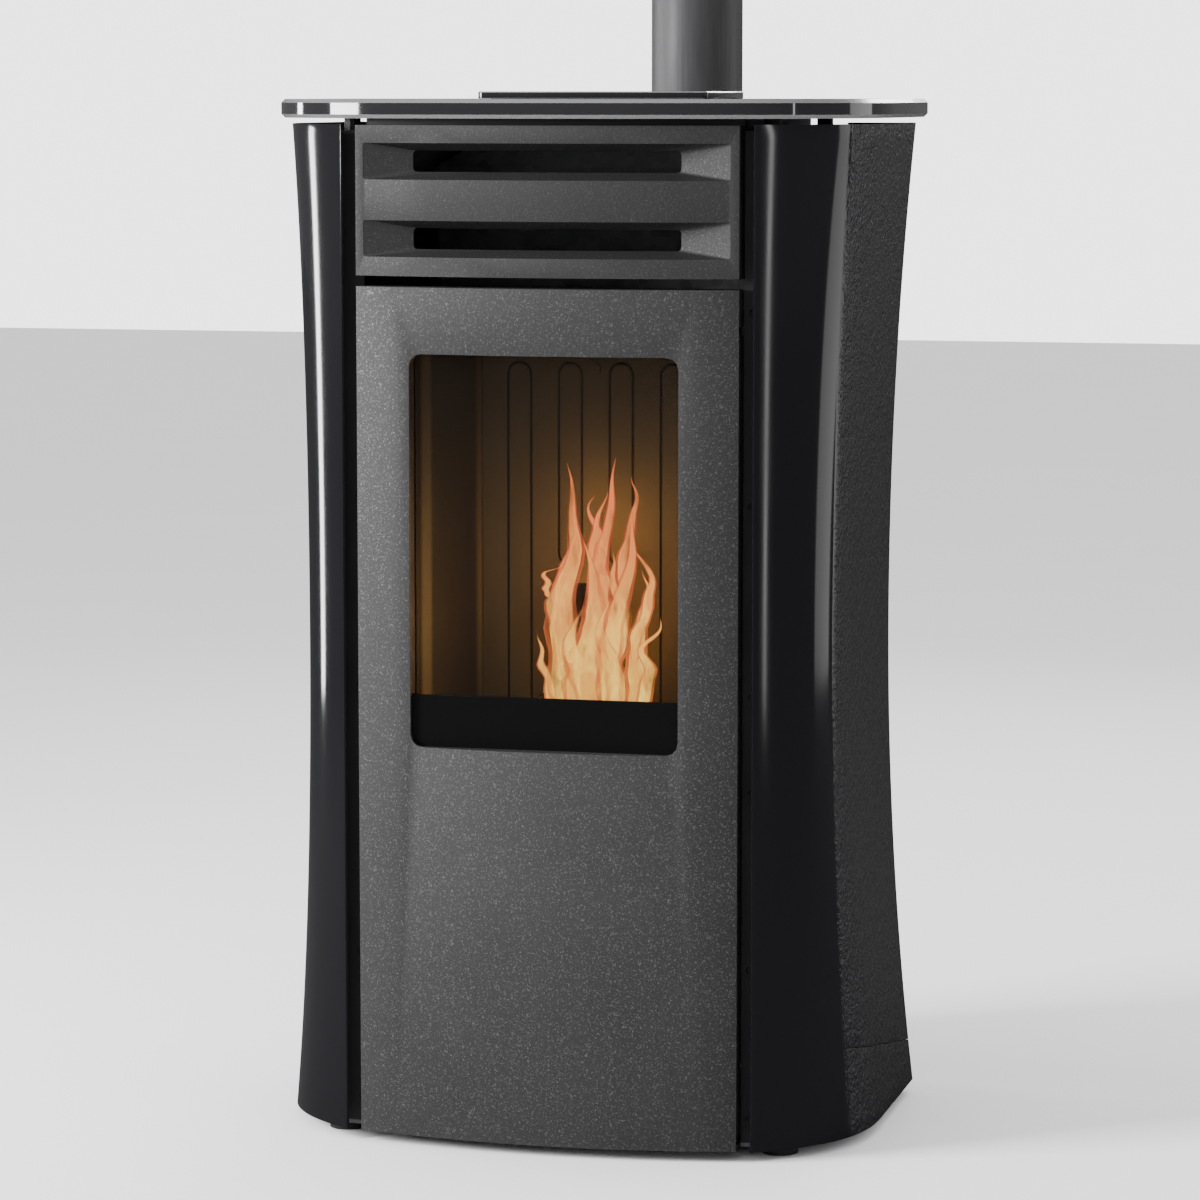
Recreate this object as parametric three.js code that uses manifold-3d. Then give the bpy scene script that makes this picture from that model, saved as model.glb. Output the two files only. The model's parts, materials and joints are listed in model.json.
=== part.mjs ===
// Freestanding pellet stove with curved enamelled sides, a full-height convex door and a rear flue.
// Millimetres. X runs across the stove, Y from the front towards the wall, Z up.
// Heights below are taken from the underside of the casing, which stands on the feet.
import * as THREE from "three";
import { mergeVertices } from "three/addons/utils/BufferGeometryUtils.js";
import Module from "manifold-3d";

const wasm = await Module();
wasm.setup();

// ---------------------------------------------------------------- driving dimensions

// Clearances
const SEAT = 0.3;              // between pieces that touch
const DEG = Math.PI / 180;

// Sheet and plate thicknesses
const SHEET = 3;
const BASE_THICKNESS = 4;
const LINER_THICKNESS = 6;
const FIREBACK_THICKNESS = 8;
const DUCT_WALL = 2;

// Feet
const FOOT_HEIGHT = 12;
const FOOT_RADIUS = 20;
const FOOT_PAD = 9;
const FOOT_STEM_RADIUS = 5;
const FOOT_INSET_X = 240;
const FOOT_FRONT_Y = 62;
const FOOT_REAR_INSET = 50;

// Side panels, hourglass from the front and bellied in plan
const SIDE_HEIGHT = 1074;
const SIDE_DEPTH = 385;
const SIDE_EDGE_X = 222;       // half the distance between the front edges
const SIDE_EDGE_ANGLE = 34 * DEG;
const SIDE_SHOULDER_Y = 190;   // where the belly turns into the straight rear part
const SIDE_BELLY = 90;         // reach of the belly's curve at both ends
const SIDE_BASE_HALF = 325;
const SIDE_WAIST_HALF = 293.5;
const SIDE_WAIST_Z = 530;
const SIDE_TOP_HALF = 320;
const FOOT_REAR_Y = SIDE_DEPTH - FOOT_REAR_INSET;
const SIDE_RETURN_X = 244;     // inner edge of the rear return
const SKIRT_FRONT_Y = 98;
const SKIRT_FRONT_Z = 96;
const SKIRT_REAR_Z = 46;
const SIDE_LEVELS = 8;
const BELLY_STEPS = 9;

// Top slab and hopper lid
const SLAB_GAP = 6;            // shadow gap over the side panels
const SLAB_THICKNESS = 20;
const SLAB_OVERHANG = 12;
const SLAB_CHAMFER = 4;
const SLAB_REAR_LAP = 15;      // past the casing's back
const SLAB_REAR_Y = SIDE_DEPTH + SLAB_REAR_LAP;
const MOUTH_HALF = 112;
const MOUTH_DEPTH = 146;
const MOUTH_SETBACK = 23;
const MOUTH_REAR_Y = SIDE_DEPTH - MOUTH_SETBACK;
const MOUTH_FRONT_Y = MOUTH_REAR_Y - MOUTH_DEPTH;
const LID_LAP = 16;            // past the mouth at the sides and rear
const LID_FRONT_LAP = 24;
const LID_HALF = MOUTH_HALF + LID_LAP;
const LID_FRONT_Y = MOUTH_FRONT_Y - LID_FRONT_LAP;
const LID_REAR_Y = MOUTH_REAR_Y + LID_LAP;
const LID_RISE = 8;
const LANDING_DEPTH = 0.5;     // seat for the lid's seal and hinge, sunk in the slab
const LANDING_MARGIN = 1;      // round the lid
const LID_HINGE_BACKSET = 6;   // from the lid's rear edge to the pin
const LID_KNUCKLE_RADIUS = 3.6;
const LID_PIN_RADIUS = 1.6;
const LID_KNUCKLE_LENGTH = 34;
const LID_KNUCKLE_X = 80;

// Door
const DOOR_HALF = 206;
const DOOR_HEIGHT = 904.6;
const DOOR_BULGE = 25;
const DOOR_FLANGE = 22;
const ARC_STEPS = 10;
const WINDOW_HALF = 145;
const WINDOW_LOW = 420;
const WINDOW_HIGH = 835;
const WINDOW_RADIUS = 13;
const WINDOW_LAP = 13;         // how far the glass reaches past the window
const GLASS_FRONT_Y = -6.5;
const GLASS_THICKNESS = 4;
const DOOR_FRAME_BORDER = 34;
const DOOR_FRAME_BACK_Y = 15;
const DOOR_SEAL_WIDTH = 12;
const RAIL_HEIGHT = 26;
const RAIL_SETBACK = 14;       // from the door's ends to the rails

// Door hinge
const HINGE_X = 196;
const HINGE_Y = 10;
const HINGE_PIN_RADIUS = 3.5;
const HINGE_PIN_FIT = 0.3;
const HINGE_EYE_RADIUS = 7;
const HINGE_TONGUE = 5;

// Grille over the door
const GRILLE_GAP = 11.4;
const GRILLE_HEIGHT = 157;
const GRILLE_SHELL = 5;
const RECESS_HALF = 197;
const RECESS_HALF_HEIGHT = 19;
const RECESS_DEPTH = 17;
const RECESS_WALL = 3;
const SLOT_HALF = 144;
const SLOT_HALF_HEIGHT = 11;
const RECESS_CENTRES = [955, 1035.5];

// Inner chassis
const CHASSIS_X = 205;
const CHASSIS_FRONT_Y = 27;
const CHASSIS_REAR_Y = SIDE_DEPTH - SHEET - SEAT;
const CHASSIS_TOP = 1064;
const FRONT_FLANGE_X = 246;
const REAR_FLANGE_X = 262;

// Rear cover
const COVER_HALF = 222;
const COVER_DEPTH = 45;        // of the hood, behind the casing
const COVER_REAR_Y = SIDE_DEPTH + COVER_DEPTH;
const COVER_LOW = 34;
const COVER_HIGH = 1036;

// Flue
const FLUE_X = 32;
const FLUE_STANDOFF = 130;     // from the rear cover to the pipe's axis
const FLUE_Y = COVER_REAR_Y + FLUE_STANDOFF;
const FLUE_RADIUS = 52.5;
const FLUE_WALL = 2;
const FLUE_TOP = 1400;
const FLUE_OUTLET_Z = 215;
const TEE_LOW = 110;
const TEE_HIGH = 330;
const SPIGOT_RADIUS = 40;

// Firebox
const FIREBOX_BACK_Y = 224;
const FIREBOX_FRONT_HALF = 165;
const FIREBOX_BACK_HALF = 134;
const FIREBOX_LOW = 389;
const FIREBOX_HIGH = 866;
const HEARTH_THICKNESS = 7;
const LINER_HEADROOM = 14;
const FIREBACK_STANDOFF = 4;
const LOOP_TOP = 816;
const LOOP_HALF = 14.5;
const LOOP_GROOVE = 3;
const LOOP_DEPTH = 2;
const LOOP_SHORT_X = 28.7;
const LOOP_SHORT_LOW = 590;
const LOOP_LONG_X = 86.1;

// Burn pot, igniter and ash drawer
const POT_HALF = 50;
const POT_HALF_DEPTH = 44;
const POT_CENTRE_Y = 150;
const POT_TOP = 455;
const POT_WALL = 4;
const IGNITER_RADIUS = 4.75;
const IGNITER_Z = 412;
const ASH_HALF = 150;
const ASH_LOW = 290;
const ASH_DRAWER_HEIGHT = 76;

// Hopper, auger and chute
const HOPPER_LOW = 657;
const HOPPER_SHOULDER = 885;
const HOPPER_NECK = 1026;
const HOPPER_SIDE_GAP = 24;
const HOPPER_FRONT_Y = FIREBOX_BACK_Y + 12;
const HOPPER_REAR_Y = MOUTH_REAR_Y + 11;
const FEED_HALF = 26;          // half the depth of the ducts that pellets fall through
const INLET_X = 84;
const INLET_HALF = 34;
const AUGER_FOOT_X = 112;
const AUGER_FOOT_Z = 553;
const AUGER_TOP_X = -28;
const AUGER_TOP_Z = 675;
const AUGER_Y = 300;
const AUGER_CORE_RADIUS = 8;
const FLIGHT_RADIUS = 27;
const FLIGHT_PITCH = 32;
const FLIGHT_THICKNESS = 3;
const FLIGHT_END = 8;
const FLIGHT_STEPS = 10;       // per turn
const PIVOT_RADIUS = 4;
const MOTOR_SHAFT_REACH = 20;
const CHUTE_HALF = 34;
const CHUTE_LOW = 500;
const CHUTE_HIGH = 572;

// Fans and services
const SMOKE_X = -75;
const SMOKE_HALF = 50;
const SMOKE_DEPTH = 62;
const EXHAUST_Z = 150;
const EXHAUST_WIDTH = 50;
const MOTOR_SETBACK = 38.4;    // from the rear cover to the smoke fan's motor
const MOTOR_SHAFT_RADIUS = 4;
const ROOM_FAN_LEFT = 84;
const ROOM_FAN_WIDTH = 90;
const ROOM_FAN_Y = 306;
const ROOM_FAN_Z = 250;
const SPIGOT_REACH = 40;       // past the rear cover
const SPIGOT_END_Y = COVER_REAR_Y + SPIGOT_REACH;
const FLUE_INSERT = 55;
const INTAKE_REACH = 80;       // inside the rear cover
const INTAKE_FRONT_Y = COVER_REAR_Y - INTAKE_REACH;
const BOARD_LOW = 560;
const BOARD_HEIGHT = 150;
const BOARD_REAR_Y = SIDE_DEPTH - 19;
const ROCKER_Y = COVER_REAR_Y;
const SOCKET_DEPTH = 14;
const ROCKER_TILT = 8 * DEG;

// ---------------------------------------------------------------- shape helpers

const stove = new THREE.Group();
const casing = new THREE.Group();
casing.position.z = FOOT_HEIGHT;
stove.add(casing);

const point = (x, y) => new THREE.Vector2(x, y);
const outline = (...pairs) => new THREE.Shape(pairs.map(([x, y]) => point(x, y)));

function arc(x, y, radius, from, to, steps) {
  const points = [];
  for (let i = 0; i <= steps; i++) {
    const angle = from + ((to - from) * i) / steps;
    points.push(point(x + radius * Math.cos(angle), y + radius * Math.sin(angle)));
  }
  return points;
}

function disc(x, y, radius, steps = 20) {
  return new THREE.Shape(arc(x, y, radius, 0, 2 * Math.PI, steps).slice(0, -1));
}

function roundedPoints(left, low, right, high, radius, steps = 3) {
  return [
    ...arc(right - radius, low + radius, radius, -Math.PI / 2, 0, steps),
    ...arc(right - radius, high - radius, radius, 0, Math.PI / 2, steps),
    ...arc(left + radius, high - radius, radius, Math.PI / 2, Math.PI, steps),
    ...arc(left + radius, low + radius, radius, Math.PI, 1.5 * Math.PI, steps),
  ];
}

const roundedRect = (...sizes) => new THREE.Shape(roundedPoints(...sizes));

// A shape drawn in X and Y, raised between two heights.
function prismUp(shape, low, high) {
  const geometry = new THREE.ExtrudeGeometry(shape, { depth: high - low, bevelEnabled: false });
  return geometry.translate(0, 0, low);
}

// A shape drawn in X and Z, run from front to back.
function prismBack(shape, front, back) {
  const geometry = new THREE.ExtrudeGeometry(shape, { depth: back - front, bevelEnabled: false });
  return geometry.rotateX(Math.PI / 2).translate(0, back, 0);
}

// A shape drawn in Y and Z, run from left to right.
function prismAcross(shape, left, right) {
  const geometry = new THREE.ExtrudeGeometry(shape, { depth: right - left, bevelEnabled: false });
  const turn = new THREE.Matrix4().makeBasis(
    new THREE.Vector3(0, 1, 0),
    new THREE.Vector3(0, 0, 1),
    new THREE.Vector3(1, 0, 0),
  );
  return geometry.applyMatrix4(turn).translate(left, 0, 0);
}

function block(left, right, front, back, low, high) {
  const geometry = new THREE.BoxGeometry(right - left, back - front, high - low);
  return geometry.translate((left + right) / 2, (front + back) / 2, (low + high) / 2);
}

// A closed profile of [radius, distance along the axis] turned about Y, Z or X.
function revolve(profile, axis, steps = 24) {
  const geometry = new THREE.LatheGeometry(profile.map(([r, h]) => point(r, h)), steps);
  if (axis === "z") geometry.rotateX(Math.PI / 2);
  if (axis === "x") geometry.rotateZ(-Math.PI / 2);
  return geometry;
}

const rod = (radius, from, to, axis, steps = 12) =>
  revolve([[0, from], [radius, from], [radius, to], [0, to]], axis, steps);

// A skin over closed outlines of equal count, with both ends capped.
function loft(loops, flatten) {
  const count = loops[0].length;
  const index = [];
  for (let k = 0; k + 1 < loops.length; k++) {
    for (let j = 0; j < count; j++) {
      const next = (j + 1) % count;
      const a = k * count + j;
      const b = k * count + next;
      index.push(a, b, b + count, a, b + count, a + count);
    }
  }
  const cap = THREE.ShapeUtils.triangulateShape(loops[0].map(flatten), []);
  const end = THREE.ShapeUtils.triangulateShape(loops.at(-1).map(flatten), []);
  const first = THREE.ShapeUtils.area(loops[0].map(flatten)) > 0 ? 1 : -1;
  const last = (loops.length - 1) * count;
  for (const [a, b, c] of cap) index.push(...(first > 0 ? [a, c, b] : [a, b, c]));
  for (const [a, b, c] of end) index.push(...(first > 0 ? [a, b, c] : [a, c, b]).map((i) => i + last));
  const geometry = new THREE.BufferGeometry();
  const positions = loops.flat().flatMap((p) => p.toArray());
  geometry.setAttribute("position", new THREE.Float32BufferAttribute(positions, 3));
  geometry.setIndex(index);
  return geometry;
}

const seenFromAbove = (p) => point(p.x, p.y);
const seenFromFront = (p) => point(p.x, p.z);

function enclosedVolume(position, index) {
  const [a, b, c] = [new THREE.Vector3(), new THREE.Vector3(), new THREE.Vector3()];
  let volume = 0;
  for (let i = 0; i < index.length; i += 3) {
    a.fromArray(position, 3 * index[i]);
    b.fromArray(position, 3 * index[i + 1]);
    c.fromArray(position, 3 * index[i + 2]);
    volume += a.dot(b.cross(c)) / 6;
  }
  return volume;
}

// A geometry as a solid, with its faces turned outwards.
function solid(geometry) {
  const bare = geometry.clone();
  bare.deleteAttribute("normal");
  bare.deleteAttribute("uv");
  const merged = mergeVertices(bare, 1e-4);
  const position = merged.attributes.position.array;
  const whole = [];
  const all = merged.index.array;
  for (let i = 0; i < all.length; i += 3) {
    const [a, b, c] = [all[i], all[i + 1], all[i + 2]];
    if (a !== b && b !== c && c !== a) whole.push(a, b, c);
  }
  if (enclosedVolume(position, whole) < 0) whole.reverse();
  return new wasm.Manifold(
    new wasm.Mesh({
      numProp: 3,
      vertProperties: new Float32Array(position),
      triVerts: new Uint32Array(whole),
    }),
  );
}

const asSolid = (item) => (item instanceof THREE.BufferGeometry ? solid(item) : item);
const join = (first, ...rest) => rest.reduce((sum, item) => sum.add(asSolid(item)), asSolid(first));
const cut = (first, ...rest) => rest.reduce((sum, item) => sum.subtract(asSolid(item)), asSolid(first));
const meet = (first, second) => asSolid(first).intersect(asSolid(second));
const mirrored = (geometry) => geometry.clone().scale(-1, 1, 1);

function surface(body) {
  const { vertProperties, triVerts, numProp } = body.getMesh();
  const positions = new Float32Array((vertProperties.length / numProp) * 3);
  for (let i = 0; i < positions.length / 3; i++) {
    positions.set(vertProperties.subarray(i * numProp, i * numProp + 3), 3 * i);
  }
  const geometry = new THREE.BufferGeometry();
  geometry.setAttribute("position", new THREE.BufferAttribute(positions, 3));
  geometry.setIndex(Array.from(triVerts));
  geometry.computeVertexNormals();
  return geometry;
}

const FINISHES = {
  enamel: [0x17181a, 0.16, 0.0],
  powder: [0x4c4c4f, 0.45, 0.6],
  casting: [0x3c3c3e, 0.55, 0.5],
  sheet: [0x2b2c2e, 0.5, 0.4],
  zinc: [0x9a9da0, 0.4, 0.9],
  slab: [0x2a2a2d, 0.12, 0.1],
  flue: [0x1b1b1c, 0.35, 0.2],
  liner: [0x7d5a34, 0.7, 0.3],
  iron: [0x2f2c2a, 0.7, 0.5],
  glass: [0x1a1412, 0.05, 0.0],
  rope: [0x3a3835, 0.95, 0.0],
  motor: [0x55585c, 0.4, 0.8],
  steel: [0xb4b6b8, 0.3, 1.0],
  plastic: [0x151515, 0.5, 0.0],
  board: [0x1f5a3a, 0.6, 0.1],
  red: [0xa02018, 0.4, 0.0],
};

function piece(name, body, finish, parent = casing) {
  const [color, roughness, metalness] = FINISHES[finish];
  const material = new THREE.MeshStandardMaterial({ color, roughness, metalness });
  const mesh = new THREE.Mesh(surface(asSolid(body)), material);
  mesh.name = name;
  parent.add(mesh);
  return mesh;
}

// ---------------------------------------------------------------- outer casing

// Half the casing's width at a height: narrowest at the waist, wider towards both ends.
function sideHalf(z) {
  const above = z > SIDE_WAIST_Z;
  const reach = above ? SIDE_HEIGHT - SIDE_WAIST_Z : SIDE_WAIST_Z;
  const flare = (above ? SIDE_TOP_HALF : SIDE_BASE_HALF) - SIDE_WAIST_HALF;
  return SIDE_WAIST_HALF + flare * ((z - SIDE_WAIST_Z) / reach) ** 2;
}

// The right side's plan curve from its front edge to its straight rear part, moved out by an offset.
function sideCurve(half, offset, rear) {
  const curve = new THREE.CubicBezierCurve(
    point(SIDE_EDGE_X, 0),
    point(SIDE_EDGE_X + SIDE_BELLY * Math.cos(SIDE_EDGE_ANGLE), SIDE_BELLY * Math.sin(SIDE_EDGE_ANGLE)),
    point(half, SIDE_SHOULDER_Y - SIDE_BELLY),
    point(half, SIDE_SHOULDER_Y),
  );
  const points = [];
  for (let i = 0; i <= BELLY_STEPS; i++) {
    const along = curve.getTangent(i / BELLY_STEPS);
    const outward = point(along.y, -along.x);
    points.push(curve.getPoint(i / BELLY_STEPS).addScaledVector(outward, offset));
  }
  points.push(point(half + offset, rear));
  return points;
}

function sideShell() {
  const loops = [];
  for (let k = 0; k <= SIDE_LEVELS; k++) {
    const z = (SIDE_HEIGHT * k) / SIDE_LEVELS;
    const outer = sideCurve(sideHalf(z), 0, SIDE_DEPTH);
    const inner = sideCurve(sideHalf(z), -SHEET, SIDE_DEPTH).reverse();
    loops.push([...outer, ...inner].map((p) => new THREE.Vector3(p.x, p.y, z)));
  }
  return solid(loft(loops, seenFromAbove));
}

// The return along the side's rear edge, which screws onto the chassis.
function sideReturn() {
  const edge = [];
  for (let k = 0; k <= SIDE_LEVELS; k++) {
    const z = (SIDE_HEIGHT * k) / SIDE_LEVELS;
    edge.push(point(sideHalf(z) - SHEET / 2, z));
  }
  const shape = new THREE.Shape([point(SIDE_RETURN_X, 0), ...edge, point(SIDE_RETURN_X, SIDE_HEIGHT)]);
  return prismBack(shape, SIDE_DEPTH - SHEET, SIDE_DEPTH);
}

// The region of the lower skirt, shrunk by a clearance.
function skirtRegion(gap) {
  const beyond = 20;
  const slope = (SKIRT_REAR_Z - SKIRT_FRONT_Z) / (SIDE_DEPTH - SKIRT_FRONT_Y);
  const region = outline(
    [SKIRT_FRONT_Y + gap, -beyond],
    [SIDE_DEPTH + beyond, -beyond],
    [SIDE_DEPTH + beyond, SKIRT_REAR_Z + slope * beyond - gap],
    [SKIRT_FRONT_Y + gap, SKIRT_FRONT_Z - gap],
  );
  return prismAcross(region, SIDE_RETURN_X - beyond, SIDE_BASE_HALF + beyond);
}

function buildSides() {
  const shell = join(sideShell(), sideReturn());
  const right = surface(cut(shell, skirtRegion(0)));
  const skirt = surface(meet(shell, skirtRegion(SEAT)));
  piece("side_panel_right", right, "enamel");
  piece("side_panel_left", mirrored(right), "enamel");
  piece("side_skirt_right", skirt, "enamel");
  piece("side_skirt_left", mirrored(skirt), "enamel");
}

function buildBase() {
  const room = sideCurve(sideHalf(BASE_THICKNESS), -SHEET - SEAT, SIDE_DEPTH - SHEET - SEAT);
  const start = room.findIndex((p) => p.y > CHASSIS_FRONT_Y);
  const [before, after] = [room[start - 1], room[start]];
  const share = (CHASSIS_FRONT_Y - before.y) / (after.y - before.y);
  const corner = before.x + (after.x - before.x) * share;
  const right = [point(corner, CHASSIS_FRONT_Y), ...room.slice(start)];
  const left = right.map((p) => point(-p.x, p.y)).reverse();
  const holes = [];
  for (const side of [-1, 1]) {
    for (const y of [FOOT_FRONT_Y, FOOT_REAR_Y]) {
      const radius = FOOT_STEM_RADIUS + SEAT;
      holes.push(prismUp(disc(side * FOOT_INSET_X, y, radius, 16), -1, BASE_THICKNESS + 1));
    }
  }
  const plate = prismUp(new THREE.Shape([...right, ...left]), 0, BASE_THICKNESS);
  piece("base_plate", cut(plate, ...holes), "zinc");
}

function buildFeet() {
  const places = [
    ["front_left", -1, FOOT_FRONT_Y],
    ["front_right", 1, FOOT_FRONT_Y],
    ["rear_left", -1, FOOT_REAR_Y],
    ["rear_right", 1, FOOT_REAR_Y],
  ];
  const stemTop = FOOT_HEIGHT + BASE_THICKNESS + 10;
  const profile = [
    [0, 0],
    [FOOT_RADIUS, 0],
    [FOOT_RADIUS, FOOT_PAD - 3],
    [FOOT_RADIUS - 3, FOOT_PAD],
    [FOOT_STEM_RADIUS + 4, FOOT_HEIGHT - SEAT],
    [FOOT_STEM_RADIUS, FOOT_HEIGHT - SEAT],
    [FOOT_STEM_RADIUS, stemTop],
    [0, stemTop],
  ];
  for (const [place, side, y] of places) {
    const foot = piece(`foot_${place}`, revolve(profile, "z", 16), "plastic", stove);
    foot.position.set(side * FOOT_INSET_X, y, 0);
  }
}

// One side wall of the chassis, folded out at the front and rear.
function buildChassis() {
  const inner = CHASSIS_X;
  const outer = CHASSIS_X + SHEET;
  const profile = outline(
    [inner, CHASSIS_FRONT_Y],
    [FRONT_FLANGE_X, CHASSIS_FRONT_Y],
    [FRONT_FLANGE_X, CHASSIS_FRONT_Y + SHEET],
    [outer, CHASSIS_FRONT_Y + SHEET],
    [outer, CHASSIS_REAR_Y - SHEET],
    [REAR_FLANGE_X, CHASSIS_REAR_Y - SHEET],
    [REAR_FLANGE_X, CHASSIS_REAR_Y],
    [inner, CHASSIS_REAR_Y],
  );
  const right = prismUp(profile, BASE_THICKNESS + SEAT, CHASSIS_TOP);
  piece("chassis_side_right", right, "sheet");
  piece("chassis_side_left", mirrored(right), "sheet");
}

// ---------------------------------------------------------------- top slab, lid and rear cover

const SLAB_LOW = SIDE_HEIGHT + SLAB_GAP;
const SLAB_TOP = SLAB_LOW + SLAB_THICKNESS;

// Front face of the door and grille: a shallow arc in plan.
const frontY = (x) => DOOR_BULGE * ((x / DOOR_HALF) ** 2 - 1);

function frontArc(half, offset) {
  const points = [];
  for (let i = 0; i <= ARC_STEPS; i++) {
    const x = half * ((2 * i) / ARC_STEPS - 1);
    points.push(point(x, frontY(x) + offset));
  }
  return points;
}

function slabOutline() {
  const corner = 10;
  const half = SIDE_TOP_HALF + SLAB_OVERHANG;
  const front = frontArc(DOOR_HALF, -SLAB_OVERHANG);
  const side = sideCurve(SIDE_TOP_HALF, SLAB_OVERHANG, SLAB_REAR_Y - corner);
  const rear = arc(half - corner, SLAB_REAR_Y - corner, corner, 0, Math.PI / 2, 4);
  const right = [...side.slice(1), ...rear.slice(1)];
  const left = right.map((p) => point(-p.x, p.y)).reverse();
  return new THREE.Shape([...front.slice(1, -1), ...right, ...left]);
}

// A plate between two heights with its edges cut back.
function chamferedPlate(shape, low, high, chamfer, topOnly = false) {
  const geometry = new THREE.ExtrudeGeometry(shape, {
    depth: high - low - 2 * chamfer,
    bevelThickness: chamfer,
    bevelSize: chamfer,
    bevelOffset: -chamfer,
    bevelSegments: 1,
  });
  const plate = solid(geometry.translate(0, 0, low + chamfer));
  if (!topOnly) return plate;
  return join(plate, prismUp(shape, low, high - chamfer));
}

const mouthShape = (border) =>
  roundedRect(
    -MOUTH_HALF - border,
    MOUTH_FRONT_Y - border,
    MOUTH_HALF + border,
    MOUTH_REAR_Y + border,
    8 + border,
  );

const LANDING_TOP = SLAB_TOP - LANDING_DEPTH;

function buildTop() {
  const slab = chamferedPlate(slabOutline(), SLAB_LOW, SLAB_TOP, SLAB_CHAMFER);
  const side = LID_HALF + LANDING_MARGIN;
  const landingFront = LID_FRONT_Y - LANDING_MARGIN;
  const landing = block(-side, side, landingFront, SLAB_REAR_Y + 1, LANDING_TOP, SLAB_TOP + 1);
  piece("top_slab", cut(slab, prismUp(mouthShape(0), SLAB_LOW - 1, SLAB_TOP + 1), landing), "slab");

  const low = CHASSIS_TOP + SEAT;
  const deckShape = roundedRect(-FRONT_FLANGE_X, CHASSIS_FRONT_Y, FRONT_FLANGE_X, CHASSIS_REAR_Y, 6);
  const spacers = [];
  for (const x of [-FOOT_INSET_X + 12, FOOT_INSET_X - 12]) {
    for (const y of [FOOT_FRONT_Y, FOOT_REAR_Y]) {
      spacers.push(rod(9, low, SLAB_LOW - SEAT, "z").translate(x, y, 0));
    }
  }
  const deck = join(prismUp(deckShape, low, low + SHEET), ...spacers);
  piece("top_frame", cut(deck, prismUp(mouthShape(0), low - 1, low + SHEET + 1)), "sheet");
}

const LID_PIN_Y = LID_REAR_Y + LID_HINGE_BACKSET;
const LID_PIN_Z = SLAB_TOP + SEAT + LID_KNUCKLE_RADIUS + 0.4;

function buildLid() {
  const low = SLAB_TOP + SEAT;
  const ceiling = SLAB_TOP + 3.5;
  const lidShape = roundedRect(-LID_HALF, LID_FRONT_Y, LID_HALF, LID_REAR_Y, 6);
  const rim = 4;
  const pocket = roundedRect(-LID_HALF + rim, LID_FRONT_Y + rim, LID_HALF - rim, LID_REAR_Y - rim, 4);
  const plate = cut(
    chamferedPlate(lidShape, low, SLAB_TOP + LID_RISE, 1.2, true),
    prismUp(pocket, low - 1, ceiling),
  );
  const knuckles = [];
  for (const x of [-LID_KNUCKLE_X, LID_KNUCKLE_X]) {
    const [left, right] = [x - LID_KNUCKLE_LENGTH / 2, x + LID_KNUCKLE_LENGTH / 2];
    knuckles.push(rod(LID_KNUCKLE_RADIUS, left, right, "x").translate(0, LID_PIN_Y, LID_PIN_Z));
    knuckles.push(block(left, right, LID_REAR_Y - 1, LID_PIN_Y, LID_PIN_Z - 2, LID_PIN_Z + 2));
  }
  const bore = rod(LID_PIN_RADIUS + SEAT, -LID_HALF, LID_HALF, "x").translate(0, LID_PIN_Y, LID_PIN_Z);
  piece("hopper_lid", cut(join(plate, ...knuckles), bore), "slab");

  const seat = LANDING_TOP + SEAT;
  const ring = prismUp(mouthShape(9), seat, ceiling - SEAT);
  piece("lid_gasket", cut(ring, prismUp(mouthShape(3), seat - 1, ceiling)), "rope");

  const clear = SEAT + LID_KNUCKLE_LENGTH / 2;
  const leafFront = LID_PIN_Y + LID_KNUCKLE_RADIUS + 0.4;
  const leafParts = [block(-118, 118, leafFront, SLAB_REAR_Y - 5, seat, seat + 2)];
  const spans = [
    [-118, -LID_KNUCKLE_X - clear],
    [-LID_KNUCKLE_X + clear, LID_KNUCKLE_X - clear],
    [LID_KNUCKLE_X + clear, 118],
  ];
  for (const [left, right] of spans) {
    leafParts.push(rod(LID_KNUCKLE_RADIUS, left, right, "x").translate(0, LID_PIN_Y, LID_PIN_Z));
    leafParts.push(block(left, right, LID_PIN_Y, SLAB_REAR_Y - 6, seat + 0.1, seat + 2));
  }
  leafParts.push(rod(LID_PIN_RADIUS, -118, 118, "x").translate(0, LID_PIN_Y, LID_PIN_Z));
  piece("lid_hinge", join(...leafParts), "sheet");
}

const INTAKE_X = -130;
const INTAKE_Z = 92;
const INTAKE_RADIUS = 25;
const SOCKET_X = 150;
const SOCKET_Z = 86;
const SOCKET_HALF = 14;
const SOCKET_HALF_HEIGHT = 10;
const SWITCH_HALF = 11;
const SWITCH_HALF_HEIGHT = 7.5;
const SWITCH_Z = 132;
const RESET_Z = 166;
const LOUVRE_HALF = 66;
const LOUVRE_X = 112;
const LOUVRE_PITCH = 22;
const LOUVRE_UPPER_Z = 770;
const LOUVRE_LOWER_Z = 340;

function louvres(low, rows) {
  const slots = [];
  for (const side of [-1, 1]) {
    for (let i = 0; i < rows; i++) {
      const z = low + i * LOUVRE_PITCH;
      const x = side * LOUVRE_X;
      slots.push(block(x - LOUVRE_HALF, x + LOUVRE_HALF, COVER_REAR_Y - 8, COVER_REAR_Y + 8, z, z + 5));
    }
  }
  return slots;
}

// A hole in the rear cover for a body of this half size.
function cutout(x, z, half, halfHeight) {
  const [wide, tall] = [half + SEAT, halfHeight + SEAT];
  return block(x - wide, x + wide, COVER_REAR_Y - 9, COVER_REAR_Y + 9, z - tall, z + tall);
}

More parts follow.
